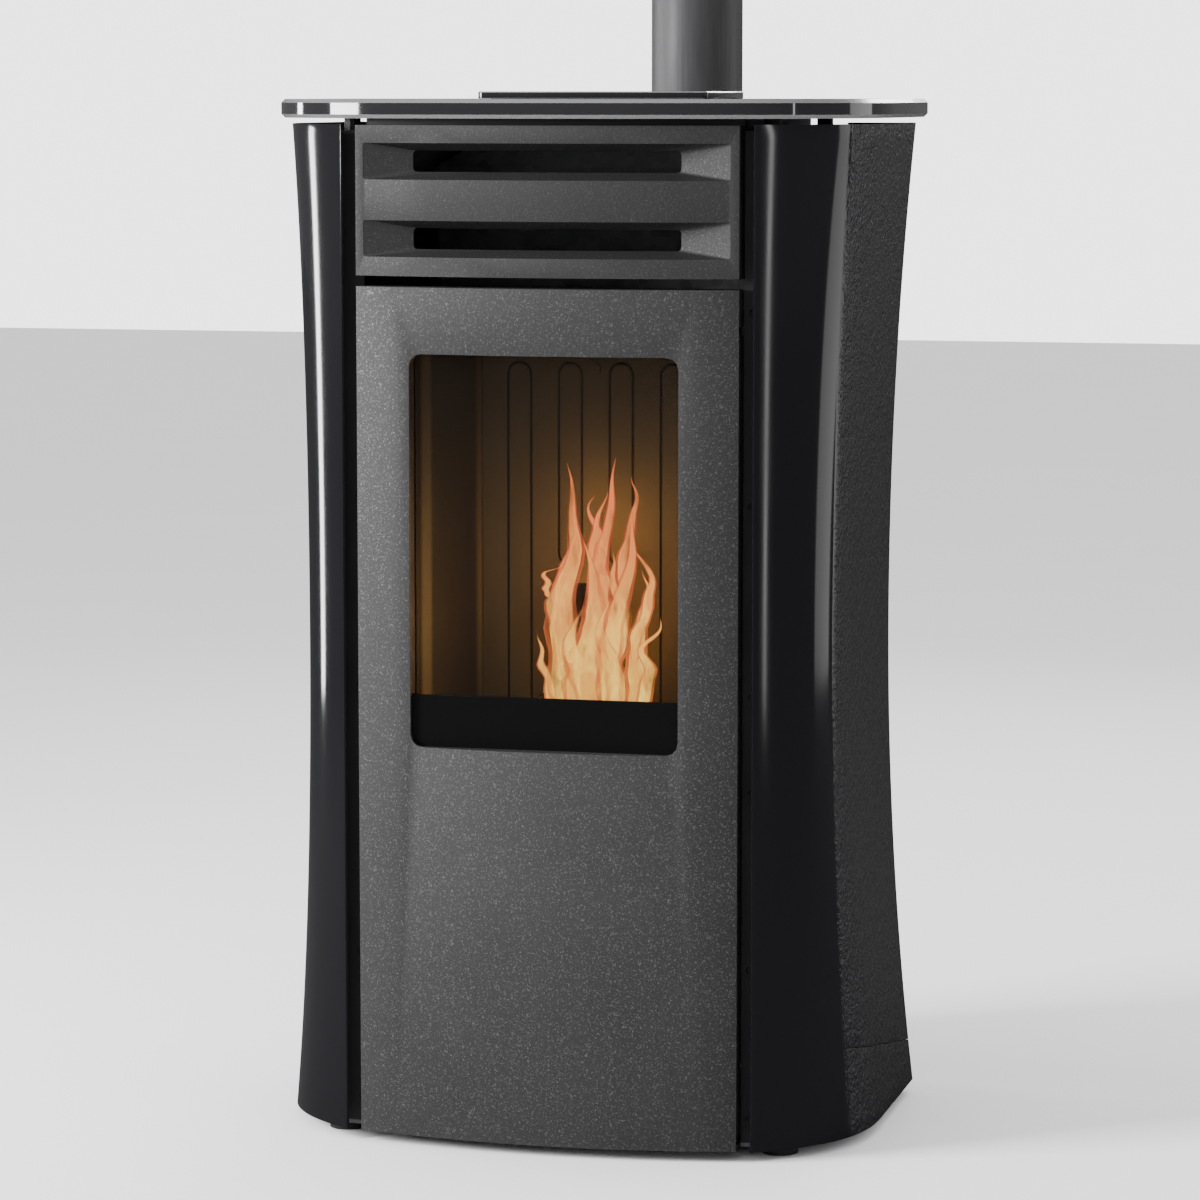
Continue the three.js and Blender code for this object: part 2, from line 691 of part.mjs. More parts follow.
function buildRearCover() {
  const flange = roundedRect(-SIDE_RETURN_X + SEAT, 6, SIDE_RETURN_X - SEAT, SIDE_HEIGHT - 12, 6);
  const hood = roundedRect(-COVER_HALF, COVER_LOW, COVER_HALF, COVER_HIGH, 12);
  const room = roundedRect(-COVER_HALF + 2, COVER_LOW + 2, COVER_HALF - 2, COVER_HIGH - 2, 10);
  const front = CHASSIS_REAR_Y + SEAT;
  const cover = cut(
    join(prismBack(flange, front, front + SHEET), prismBack(hood, front + 1, COVER_REAR_Y)),
    prismBack(room, front - 1, COVER_REAR_Y - 2),
    prismBack(disc(FLUE_X, FLUE_OUTLET_Z, SPIGOT_RADIUS + 2), COVER_REAR_Y - 9, COVER_REAR_Y + 9),
    prismBack(disc(INTAKE_X, INTAKE_Z, INTAKE_RADIUS + 1), COVER_REAR_Y - 9, COVER_REAR_Y + 9),
    cutout(SOCKET_X, SOCKET_Z, SOCKET_HALF, SOCKET_HALF_HEIGHT),
    cutout(SOCKET_X, SWITCH_Z, SWITCH_HALF, SWITCH_HALF_HEIGHT),
    prismBack(disc(SOCKET_X, RESET_Z, 6.3, 16), COVER_REAR_Y - 9, COVER_REAR_Y + 9),
    ...louvres(LOUVRE_UPPER_Z, 9),
    ...louvres(LOUVRE_LOWER_Z, 4),
  );
  piece("rear_cover", cover, "sheet");
}

// ---------------------------------------------------------------- door

const GLASS_BACK_Y = GLASS_FRONT_Y + GLASS_THICKNESS;
const FIREBOX_FRONT_Y = DOOR_FRAME_BACK_Y + DOOR_SEAL_WIDTH + 2 * SEAT;
const RAIL_LOW = RAIL_SETBACK;
const RAIL_UPPER_LOW = DOOR_HEIGHT - RAIL_SETBACK - RAIL_HEIGHT;

const windowShape = (border, radius = WINDOW_RADIUS + border) =>
  roundedRect(
    -WINDOW_HALF - border,
    WINDOW_LOW - border,
    WINDOW_HALF + border,
    WINDOW_HIGH + border,
    Math.max(radius, 2),
  );

// The door's body in plan: convex in front, flat behind, set in by a wall.
function doorPlan(inset, back) {
  const half = DOOR_HALF - inset;
  return new THREE.Shape([...frontArc(half, inset), point(half, back), point(-half, back)]);
}

function hingeNotches() {
  const gap = 2;
  return [RAIL_LOW, RAIL_UPPER_LOW].map((rail) =>
    block(HINGE_X, DOOR_HALF + 1, 0.5, DOOR_FLANGE + 1, rail - HINGE_TONGUE - gap, rail + gap),
  );
}

function buildDoor() {
  const body = prismUp(doorPlan(0, DOOR_FLANGE), 0, DOOR_HEIGHT);
  const room = prismUp(doorPlan(SHEET, DOOR_FLANGE + 1), SHEET, DOOR_HEIGHT - SHEET);
  const rim = meet(prismBack(windowShape(2.5), -2 * DOOR_BULGE, GLASS_FRONT_Y - SEAT), body);
  const opening = prismBack(windowShape(0), -2 * DOOR_BULGE, DOOR_FLANGE);
  piece("door_skin", cut(join(cut(body, room), rim), opening, ...hingeNotches()), "powder");

  piece("door_glass", prismBack(windowShape(WINDOW_LAP, 6), GLASS_FRONT_Y, GLASS_BACK_Y), "glass");

  const frameShape = windowShape(DOOR_FRAME_BORDER - 3, 14);
  const frameBody = prismBack(frameShape, GLASS_BACK_Y + SEAT, DOOR_FRAME_BACK_Y);
  const frameOpening = prismBack(windowShape(3, 14), GLASS_BACK_Y - 1, DOOR_FRAME_BACK_Y + 1);
  piece("door_inner_frame", cut(frameBody, frameOpening), "iron");

  const sealFront = DOOR_FRAME_BACK_Y + SEAT;
  const seal = cut(
    prismBack(windowShape(DOOR_FRAME_BORDER - 9, 20), sealFront, sealFront + DOOR_SEAL_WIDTH),
    prismBack(windowShape(DOOR_FRAME_BORDER - 21, 10), sealFront - 1, sealFront + DOOR_SEAL_WIDTH + 1),
  );
  piece("door_gasket", seal, "rope");
}

// The folded rails across the door's back. Each ends in the eye that hangs on a hinge pin.
function buildDoorRails() {
  const half = DOOR_HALF - SHEET - SEAT;
  const back = DOOR_FRAME_BACK_Y + SEAT;
  const rails = [
    ["lower", RAIL_LOW, RAIL_LOW],
    ["upper", RAIL_UPPER_LOW, RAIL_UPPER_LOW + RAIL_HEIGHT - SHEET],
  ];
  for (const [place, low, web] of rails) {
    const eye = rod(HINGE_EYE_RADIUS - SEAT, low, low + RAIL_HEIGHT, "z").translate(HINGE_X, HINGE_Y, 0);
    const rail = join(
      block(-half, half, back, back + SHEET, low, low + RAIL_HEIGHT),
      block(-half, half, frontY(half) + SHEET + 1, back + SHEET, web, web + SHEET),
      block(HINGE_X - 3, HINGE_X + 3, HINGE_Y, back + 1, low, low + RAIL_HEIGHT),
      eye,
    );
    const bore = rod(HINGE_PIN_RADIUS + HINGE_PIN_FIT, low - 1, low + RAIL_HEIGHT + 1, "z");
    piece(`door_rail_${place}`, cut(rail, bore.translate(HINGE_X, HINGE_Y, 0)), "sheet");
  }
}

// Each bracket is a tongue with its pin standing up into the rail above it. The lower one has a foot
// on the chassis wall, and the upper one is welded by its end to the firebox's front flange.
function buildHingeBrackets() {
  const footBack = 60;
  const rails = [
    ["lower", RAIL_LOW, footBack],
    ["upper", RAIL_UPPER_LOW, FIREBOX_FRONT_Y - SEAT],
  ];
  const wall = CHASSIS_X - SEAT;
  for (const [place, rail, root] of rails) {
    const high = rail - SEAT;
    const low = high - HINGE_TONGUE;
    const nose = arc(HINGE_X, HINGE_Y, HINGE_EYE_RADIUS, Math.PI, 2 * Math.PI, 8);
    const right = HINGE_X + HINGE_EYE_RADIUS;
    const left = HINGE_X - HINGE_EYE_RADIUS;
    const plate = new THREE.Shape([...nose, point(right, root), point(left, root)]);
    const pin = rod(HINGE_PIN_RADIUS, low, rail + RAIL_HEIGHT - 4, "z").translate(HINGE_X, HINGE_Y, 0);
    const parts = [prismUp(plate, low, high), pin];
    if (root === footBack) parts.push(block(wall - 4, wall, footBack - 28, footBack, low, low + 40));
    piece(`hinge_bracket_${place}`, join(...parts), "sheet");
  }
}

const MAGNET_Z = 230;

function buildCatch() {
  const wall = CHASSIS_X - SEAT;
  const magnet = roundedRect(-wall, MAGNET_Z - 18, -wall + 26, MAGNET_Z + 18, 2, 2);
  piece("door_magnet", prismBack(magnet, CHASSIS_FRONT_Y, CHASSIS_FRONT_Y + 16), "plastic");
  const flangeX = DOOR_HALF - SHEET - SEAT;
  const [low, high] = [MAGNET_Z - 18, MAGNET_Z + 18];
  const back = CHASSIS_FRONT_Y - SEAT;
  const strike = join(
    block(-flangeX, -flangeX + SHEET, 4, back, low, high),
    block(-flangeX, -flangeX + 24, back - SHEET, back, low, high),
  );
  piece("catch_strike", strike, "zinc");
}

// ---------------------------------------------------------------- grille

// A rounded outline that follows the curved front at a depth behind it.
function frontLoop(half, halfHeight, radius, centre, depth) {
  const points = roundedPoints(-half, -halfHeight, half, halfHeight, radius, 3);
  const loop = [];
  points.forEach((p, i) => {
    const next = points[(i + 1) % points.length];
    const steps = Math.abs(next.x - p.x) > half ? ARC_STEPS : 1;
    for (let k = 0; k < steps; k++) {
      const x = p.x + ((next.x - p.x) * k) / steps;
      loop.push(new THREE.Vector3(x, frontY(x) + depth, centre + p.y));
    }
  });
  return loop;
}

const flattened = (loop, y) => loop.map((p) => new THREE.Vector3(p.x, y, p.z));

// A funnel from a wide outline on the front to a narrow one behind it, run on flat at both ends.
function funnel(border, depth, centre) {
  const reach = 2 * DOOR_BULGE;
  const wide = frontLoop(RECESS_HALF + border, RECESS_HALF_HEIGHT + border, 3 + border, centre, border + 0.5);
  const narrow = frontLoop(SLOT_HALF + border, SLOT_HALF_HEIGHT + border, 4 + border, centre, depth);
  return loft([flattened(wide, -reach), wide, narrow, flattened(narrow, reach)], seenFromFront);
}

function buildGrille() {
  const low = DOOR_HEIGHT + GRILLE_GAP;
  const high = low + GRILLE_HEIGHT;
  const back = CHASSIS_FRONT_Y - SEAT;
  const depth = RECESS_DEPTH + RECESS_WALL;
  const body = prismUp(doorPlan(0, back), low, high);
  const room = prismUp(doorPlan(GRILLE_SHELL, back + 1), low + SHEET, high - SHEET);
  const reach = [...frontArc(DOOR_HALF, depth), point(DOOR_HALF, -2 * depth), point(-DOOR_HALF, -2 * depth)];
  const band = meet(body, prismUp(new THREE.Shape(reach), low, high));
  const walls = RECESS_CENTRES.map((centre) => meet(funnel(RECESS_WALL, depth, centre), band));
  const cavities = RECESS_CENTRES.map((centre) => funnel(0, RECESS_DEPTH, centre));
  piece("upper_grille", cut(join(cut(body, room), ...walls), ...cavities), "casting");
}

// ---------------------------------------------------------------- firebox

const FIREBOX_OPENING_BORDER = 9;
const HEARTH_TOP = FIREBOX_LOW + SEAT + HEARTH_THICKNESS;
const FIREBACK_Y = FIREBOX_BACK_Y - FIREBACK_STANDOFF - FIREBACK_THICKNESS;

// Half the chamber's width at a depth: the side walls draw together towards the back.
function chamberHalf(y) {
  const share = (y - FIREBOX_FRONT_Y) / (FIREBOX_BACK_Y - FIREBOX_FRONT_Y);
  return FIREBOX_FRONT_HALF + (FIREBOX_BACK_HALF - FIREBOX_FRONT_HALF) * share;
}

function chamberPlan(inset, front, back) {
  const [near, far] = [chamberHalf(front) - inset, chamberHalf(back) - inset];
  return outline([-near, front], [near, front], [far, back], [-far, back]);
}

const chuteMouth = (border) =>
  roundedRect(-CHUTE_HALF - border, CHUTE_LOW - border, CHUTE_HALF + border, CHUTE_HIGH + border, 4, 2);

function buildFirebox() {
  const back = FIREBOX_BACK_Y + SHEET;
  const wallX = CHASSIS_X - SEAT;
  const flange = roundedRect(-wallX, FIREBOX_LOW - 12, wallX, FIREBOX_HIGH + 18, 4, 2);
  const floorHole = block(-40, 40, POT_CENTRE_Y - 34, POT_CENTRE_Y + 34, FIREBOX_LOW - 9, FIREBOX_LOW + 9);
  const smokeHole = block(
    SMOKE_X - SMOKE_HALF + 6,
    SMOKE_X + SMOKE_HALF - 6,
    FIREBOX_BACK_Y - 9,
    back + 9,
    HEARTH_TOP + 4,
    HEARTH_TOP + 50,
  );
  const shell = cut(
    join(
      prismUp(chamberPlan(-SHEET, FIREBOX_FRONT_Y, back), FIREBOX_LOW - SHEET, FIREBOX_HIGH + SHEET),
      prismBack(flange, FIREBOX_FRONT_Y, FIREBOX_FRONT_Y + SHEET),
    ),
    prismUp(chamberPlan(0, FIREBOX_FRONT_Y + SHEET, FIREBOX_BACK_Y), FIREBOX_LOW, FIREBOX_HIGH),
    prismBack(windowShape(FIREBOX_OPENING_BORDER, 10), FIREBOX_FRONT_Y - 9, FIREBOX_FRONT_Y + 9),
    prismBack(chuteMouth(0), FIREBOX_BACK_Y - 9, back + 9),
    rod(IGNITER_RADIUS + 1, FIREBOX_BACK_Y - 9, back + 9, "y", 12).translate(0, 0, IGNITER_Z),
    floorHole,
    smokeHole,
  );
  piece("firebox_shell", shell, "iron");

  const hearth = prismUp(
    chamberPlan(SEAT, FIREBOX_FRONT_Y + SHEET + SEAT, FIREBOX_BACK_Y - SEAT),
    FIREBOX_LOW + SEAT,
    HEARTH_TOP,
  );
  const potHole = prismUp(potShape(1), FIREBOX_LOW - 1, HEARTH_TOP + 1);
  piece("hearth_plate", cut(hearth, potHole), "iron");

  const linerTop = FIREBOX_HIGH - LINER_HEADROOM;
  const front = FIREBOX_FRONT_Y + SHEET + 4;
  const rear = FIREBOX_BACK_Y - SEAT;
  const liner = outline(
    [chamberHalf(front) - SEAT, front],
    [chamberHalf(rear) - SEAT, rear],
    [chamberHalf(rear) - SEAT - LINER_THICKNESS, rear],
    [chamberHalf(front + 14) - SEAT - LINER_THICKNESS, front + 14],
    [chamberHalf(front) - 2 * LINER_THICKNESS, front + 8],
    [chamberHalf(front) - 2 * LINER_THICKNESS, front],
  );
  const right = prismUp(liner, HEARTH_TOP + SEAT, linerTop);
  piece("firebox_liner_right", right, "liner");
  piece("firebox_liner_left", mirrored(right), "liner");

  const baffle = prismUp(
    chamberPlan(SEAT, FIREBOX_FRONT_Y + 40, FIREBOX_BACK_Y - 12),
    linerTop + SEAT,
    linerTop + SEAT + LINER_THICKNESS,
  );
  piece("firebox_baffle", baffle, "iron");
}

// The cast back plate, with its long and short loops cut into the face.
function buildFireback() {
  const half = chamberHalf(FIREBACK_Y + FIREBACK_THICKNESS) - LINER_THICKNESS - 3 * SEAT;
  const low = HEARTH_TOP + SEAT;
  const high = FIREBOX_HIGH - LINER_HEADROOM;
  const plateShape = roundedRect(-half, low, half, high, 2, 1);
  const plate = prismBack(plateShape, FIREBACK_Y, FIREBACK_Y + FIREBACK_THICKNESS);
  const bosses = [];
  for (const x of [-half + 16, half - 16]) {
    for (const z of [low + 90, high - 16]) {
      bosses.push(rod(7, FIREBACK_Y + 1, FIREBOX_BACK_Y - SEAT, "y", 10).translate(x, 0, z));
    }
  }
  const grooves = [];
  const loops = [
    [-LOOP_LONG_X, low - 2 * LOOP_HALF],
    [-LOOP_SHORT_X, LOOP_SHORT_LOW],
    [LOOP_SHORT_X, LOOP_SHORT_LOW],
    [LOOP_LONG_X, low - 2 * LOOP_HALF],
  ];
  for (const [x, bottom] of loops) {
    const ring = roundedRect(x - LOOP_HALF, bottom, x + LOOP_HALF, LOOP_TOP, LOOP_HALF - 0.1, 4);
    const inner = LOOP_HALF - LOOP_GROOVE;
    const [low, high] = [bottom + LOOP_GROOVE, LOOP_TOP - LOOP_GROOVE];
    const hole = roundedPoints(x - inner, low, x + inner, high, inner - 0.1, 4);
    ring.holes.push(new THREE.Path(hole));
    grooves.push(prismBack(ring, FIREBACK_Y - 1, FIREBACK_Y + LOOP_DEPTH));
  }
  const bolt = rod(6.5, FIREBACK_Y - 4, FIREBACK_Y + 1, "y", 6).translate(0, 0, LOOP_TOP - 8);
  const body = cut(
    join(plate, ...bosses, bolt),
    ...grooves,
    prismBack(chuteMouth(1), FIREBACK_Y - 9, FIREBOX_BACK_Y),
    rod(IGNITER_RADIUS + 2, FIREBACK_Y - 9, FIREBOX_BACK_Y, "y", 12).translate(0, 0, IGNITER_Z),
  );
  piece("fireback", body, "liner");
}

const potShape = (border) =>
  roundedRect(
    -POT_HALF - border,
    POT_CENTRE_Y - POT_HALF_DEPTH - border,
    POT_HALF + border,
    POT_CENTRE_Y + POT_HALF_DEPTH + border,
    8 + border,
    2,
  );

function buildBurnPot() {
  const low = FIREBOX_LOW + SEAT;
  const floor = low + 5;
  const holes = [];
  for (const x of [-27, -9, 9, 27]) {
    for (const y of [-20, 0, 20]) {
      holes.push(rod(4, low - 1, floor + 1, "z", 6).translate(x, POT_CENTRE_Y + y, 0));
    }
  }
  const ledgeTop = HEARTH_TOP + SEAT + 4;
  const ledge = block(
    -POT_HALF - 9,
    POT_HALF + 9,
    POT_CENTRE_Y - POT_HALF_DEPTH - 7,
    POT_CENTRE_Y + POT_HALF_DEPTH - 4,
    HEARTH_TOP + SEAT,
    ledgeTop,
  );
  const pot = cut(
    join(prismUp(potShape(0), low, POT_TOP), ledge),
    prismUp(potShape(-POT_WALL), floor, POT_TOP + 1),
    rod(IGNITER_RADIUS + 1, POT_CENTRE_Y, POT_CENTRE_Y + 60, "y", 10).translate(0, 0, IGNITER_Z),
    ...holes,
  );
  piece("burn_pot", pot, "iron");

  const tip = POT_CENTRE_Y + POT_HALF_DEPTH + 1;
  const collar = FIREBOX_BACK_Y + SHEET + SEAT;
  const igniter = revolve(
    [
      [0, tip],
      [IGNITER_RADIUS, tip],
      [IGNITER_RADIUS, collar],
      [2.4 * IGNITER_RADIUS, collar],
      [2.4 * IGNITER_RADIUS, collar + 4],
      [IGNITER_RADIUS + 1.5, collar + 4],
      [IGNITER_RADIUS + 1.5, collar + 46],
      [0, collar + 46],
    ],
    "y",
    14,
  );
  piece("igniter", igniter.translate(0, 0, IGNITER_Z), "steel");
}

function buildAshDrawer() {
  const top = FIREBOX_LOW - SHEET - SEAT;
  const front = FIREBOX_FRONT_Y + SHEET + SEAT;
  const half = ASH_HALF;
  const bay = cut(
    block(-half, half, front, FIREBOX_BACK_Y, ASH_LOW, top),
    block(-half + 2, half - 2, front - 1, FIREBOX_BACK_Y - 2, ASH_LOW + 2, top + 1),
  );
  piece("ash_bay", bay, "sheet");

  const low = ASH_LOW + 2 + SEAT;
  const inner = half - 2 - SEAT;
  const rim = low + ASH_DRAWER_HEIGHT;
  const handleZ = low + 0.6 * ASH_DRAWER_HEIGHT;
  const bow = cut(
    block(-55, 55, front - 17, front + 1, handleZ - 4, handleZ + 4),
    block(-49, 49, front - 12, front, handleZ - 5, handleZ + 5),
  );
  const drawer = join(
    cut(
      block(-inner, inner, front, FIREBOX_BACK_Y - 4, low, rim),
      block(-inner + 2, inner - 2, front + 2, FIREBOX_BACK_Y - 6, low + 2, rim + 1),
    ),
    bow,
  );
  piece("ash_drawer", drawer, "zinc");
}

// ---------------------------------------------------------------- pellet feed

const HOPPER_TOP = CHASSIS_TOP - SEAT;

function hopperLoops(inset, below, above) {
  const half = CHASSIS_X - HOPPER_SIDE_GAP;
  const feedFront = AUGER_Y - FEED_HALF;
  const levels = [
    [INLET_X - INLET_HALF, INLET_X + INLET_HALF, feedFront, AUGER_Y + FEED_HALF, HOPPER_LOW - below],
    [-half, half, HOPPER_FRONT_Y, HOPPER_REAR_Y, HOPPER_SHOULDER],
    [-half, half, MOUTH_FRONT_Y - 4, HOPPER_REAR_Y, HOPPER_NECK],
    [-MOUTH_HALF - 2, MOUTH_HALF + 2, MOUTH_FRONT_Y - 2, MOUTH_REAR_Y + 2, HOPPER_TOP + above],
  ];
  return levels.map(([left, right, front, back, z]) => [
    new THREE.Vector3(left + inset, front + inset, z),
    new THREE.Vector3(right - inset, front + inset, z),
    new THREE.Vector3(right - inset, back - inset, z),
    new THREE.Vector3(left + inset, back - inset, z),
  ]);
}

function buildHopper() {
  const outer = loft(hopperLoops(0, 0, 0), seenFromAbove);
  const inner = loft(hopperLoops(DUCT_WALL, 1, 1), seenFromAbove);
  piece("hopper", cut(outer, inner), "zinc");
}

const AUGER_RUN_X = AUGER_TOP_X - AUGER_FOOT_X;
const AUGER_RUN_Z = AUGER_TOP_Z - AUGER_FOOT_Z;
const AUGER_LENGTH = Math.hypot(AUGER_RUN_X, AUGER_RUN_Z);
const AUGER_TILT = Math.atan2(-AUGER_RUN_Z, AUGER_RUN_X);

// Pieces drawn along X from the auger's foot are laid on its sloping axis.
const alongAuger = (geometry) => geometry.rotateY(AUGER_TILT).translate(AUGER_FOOT_X, AUGER_Y, AUGER_FOOT_Z);

function augerFlight() {
  const turns = (AUGER_LENGTH - 2 * FLIGHT_END) / FLIGHT_PITCH;
  const steps = Math.round(turns * FLIGHT_STEPS);
  const loops = [];
  for (let i = 0; i <= steps; i++) {
    const angle = (2 * Math.PI * i * turns) / steps;
    const along = FLIGHT_END + (i * turns * FLIGHT_PITCH) / steps;
    const corners = [
      [AUGER_CORE_RADIUS - 2, along - FLIGHT_THICKNESS / 2],
      [FLIGHT_RADIUS, along - FLIGHT_THICKNESS / 2],
      [FLIGHT_RADIUS, along + FLIGHT_THICKNESS / 2],
      [AUGER_CORE_RADIUS - 2, along + FLIGHT_THICKNESS / 2],
    ];
    loops.push(corners.map(([r, x]) => new THREE.Vector3(x, r * Math.cos(angle), r * Math.sin(angle))));
  }
  return loft(loops, (p) => point(Math.hypot(p.y, p.z), p.x));
}

function buildAuger() {
  const inside = FLIGHT_RADIUS + 1.5;
  const outside = inside + DUCT_WALL;
  const feed = FEED_HALF;
  const box = (left, right, low, high, wall) =>
    block(left + wall, right - wall, AUGER_Y - feed + wall, AUGER_Y + feed - wall, low, high);
  const inletLow = AUGER_FOOT_Z + 22;
  const outletHigh = AUGER_TOP_Z - 15;
  const [inletLeft, inletRight] = [INLET_X - INLET_HALF, INLET_X + INLET_HALF];
  const [outletLeft, outletRight] = [AUGER_TOP_X - 8, AUGER_TOP_X + 34];
  const low = CHUTE_HIGH + DUCT_WALL + SEAT;
  const high = HOPPER_LOW - SEAT;
  const casingOuter = join(
    alongAuger(rod(outside, 0, AUGER_LENGTH + 3, "x", 18)),
    box(inletLeft, inletRight, inletLow, high, 0),
    box(outletLeft, outletRight, low, outletHigh, 0),
  );
  const casingInner = join(
    alongAuger(rod(inside, -1, AUGER_LENGTH, "x", 18)),
    alongAuger(rod(PIVOT_RADIUS + SEAT, AUGER_LENGTH - 1, AUGER_LENGTH + 4, "x", 12)),
    box(inletLeft, inletRight, inletLow, high + 1, DUCT_WALL),
    box(outletLeft, outletRight, low - 1, outletHigh, DUCT_WALL),
  );
  piece("auger_tube", cut(casingOuter, casingInner), "zinc");

  const core = join(
    rod(AUGER_CORE_RADIUS, SEAT, AUGER_LENGTH - SEAT, "x", 12),
    rod(PIVOT_RADIUS, AUGER_LENGTH - 1, AUGER_LENGTH + 3, "x", 12),
    augerFlight(),
  );
  const bore = rod(PIVOT_RADIUS + SEAT, -1, MOTOR_SHAFT_REACH + 1, "x", 12);
  piece("auger_screw", alongAuger(surface(cut(core, bore))), "steel");

  const motor = join(
    rod(outside + 4, -6, -SEAT, "x", 20),
    block(-40, -5, -27, 27, -27, 27),
    rod(26, -78, -39, "x", 20),
    rod(PIVOT_RADIUS, -6, MOTOR_SHAFT_REACH, "x", 12),
  );
  piece("auger_gearmotor", alongAuger(surface(motor)), "motor");

  const wall = DUCT_WALL;
  const front = FIREBOX_BACK_Y + SHEET + SEAT;
  const rear = AUGER_Y + feed;
  const outer = outline([front, CHUTE_LOW - wall], [rear, CHUTE_HIGH + wall], [front, CHUTE_HIGH + wall]);
  const rise = (CHUTE_HIGH - CHUTE_LOW) / (rear - front);
  const inner = outline(
    [front - 1, CHUTE_LOW - rise],
    [rear - 3 * wall, CHUTE_HIGH - 3 * wall * rise],
    [rear - 3 * wall, CHUTE_HIGH],
    [front - 1, CHUTE_HIGH],
  );
  const chute = cut(
    prismAcross(outer, -CHUTE_HALF - wall, CHUTE_HALF + wall),
    prismAcross(inner, -CHUTE_HALF, CHUTE_HALF),
    box(outletLeft, outletRight, CHUTE_HIGH - 4, CHUTE_HIGH + 9, wall + 2),
  );
  piece("pellet_chute", chute, "zinc");
}

// ---------------------------------------------------------------- fans, flue and services

// A fan scroll in its own plane, with its outlet towards +U at the top.
function scroll(wide, narrow, reach, inset) {
  const points = [];
  const steps = 14;
  for (let i = 0; i <= steps; i++) {
    const angle = Math.PI / 2 + ((290 * DEG) * i) / steps;
    const radius = wide - ((wide - narrow) * i) / steps - inset;
    points.push([radius * Math.cos(angle), radius * Math.sin(angle)]);
  }
  const sill = narrow * Math.sin(20 * DEG) + inset;
  return [...points, [reach - inset, sill], [reach - inset, wide - inset]];
}

// A hub and back disc with straight blades, along an axis from zero.
function bladedWheel(radius, inner, width, blades, axis) {
  const parts = [rod(radius, width - 2, width, axis, 20), rod(10, 0, width, axis, 12)];
  for (let i = 0; i < blades; i++) {
    const angle = (2 * Math.PI * i) / blades;
    const blade = axis === "y"
      ? block(inner, radius - 1, 0, width - 1, -1, 1).rotateY(angle)
      : block(0, width - 1, inner, radius - 1, -1, 1).rotateX(angle);
    parts.push(blade);
  }
  return join(...parts);
}

function buildExhaustFan() {
  const front = FIREBOX_BACK_Y + SHEET + SEAT + SMOKE_DEPTH + SEAT;
  const back = front + EXHAUST_WIDTH;
  const wall = DUCT_WALL;
  const shapeOf = (inset) =>
    outline(...scroll(108, 66, 155, inset).map(([u, v]) => [SMOKE_X + u, EXHAUST_Z + v]));
  const at = (geometry) => geometry.translate(SMOKE_X, 0, EXHAUST_Z);
  const spigot = (radius, from, to) =>
    rod(radius, from, to, "y", 24).translate(FLUE_X, 0, FLUE_OUTLET_Z);
  const housing = cut(
    join(
      prismBack(shapeOf(0), front, back),
      spigot(SPIGOT_RADIUS, back - 1, SPIGOT_END_Y),
    ),
    prismBack(shapeOf(wall), front + wall, back - wall),
    spigot(SPIGOT_RADIUS - wall, back - wall - 1, SPIGOT_END_Y + 1),
    at(rod(30, front - 1, front + wall + 1, "y", 20)),
    at(rod(9, back - wall - 1, back + 1, "y", 12)),
  );
  piece("exhaust_fan_housing", housing, "casting");

  const wheelFront = front + wall + 4;
  const wheel = bladedWheel(50, 9, EXHAUST_WIDTH - 2 * wall - 12, 8, "y").translate([0, wheelFront, 0]);
  const bore = rod(MOTOR_SHAFT_RADIUS + SEAT, front, back, "y", 12);
  const impeller = cut(wheel, bore).translate([SMOKE_X, 0, EXHAUST_Z]);
  piece("exhaust_fan_impeller", impeller, "steel");

  const motor = join(
    rod(36, back + SEAT, back + 4, "y", 16),
    rod(32, back + 3, COVER_REAR_Y - MOTOR_SETBACK, "y", 16),
    rod(MOTOR_SHAFT_RADIUS, wheelFront + 2, back + 4, "y", 12),
  );
  piece("exhaust_fan_motor", motor.translate([SMOKE_X, 0, EXHAUST_Z]), "motor");

  const ductFront = FIREBOX_BACK_Y + SHEET + SEAT;
  const ductBack = ductFront + SMOKE_DEPTH;
  const [left, right] = [SMOKE_X - SMOKE_HALF, SMOKE_X + SMOKE_HALF];
  const [low, high] = [EXHAUST_Z - 46, HEARTH_TOP + 56];
  const duct = cut(
    block(left, right, ductFront, ductBack, low, high),
    block(left + wall, right - wall, ductFront + wall, ductBack - wall, low + wall, high - wall),
    block(left + 6, right - 6, ductFront - 1, ductFront + wall + 1, HEARTH_TOP + 4, HEARTH_TOP + 50),
    at(rod(30, ductBack - wall - 1, ductBack + 1, "y", 20)),
  );
  piece("smoke_duct", duct, "sheet");
}

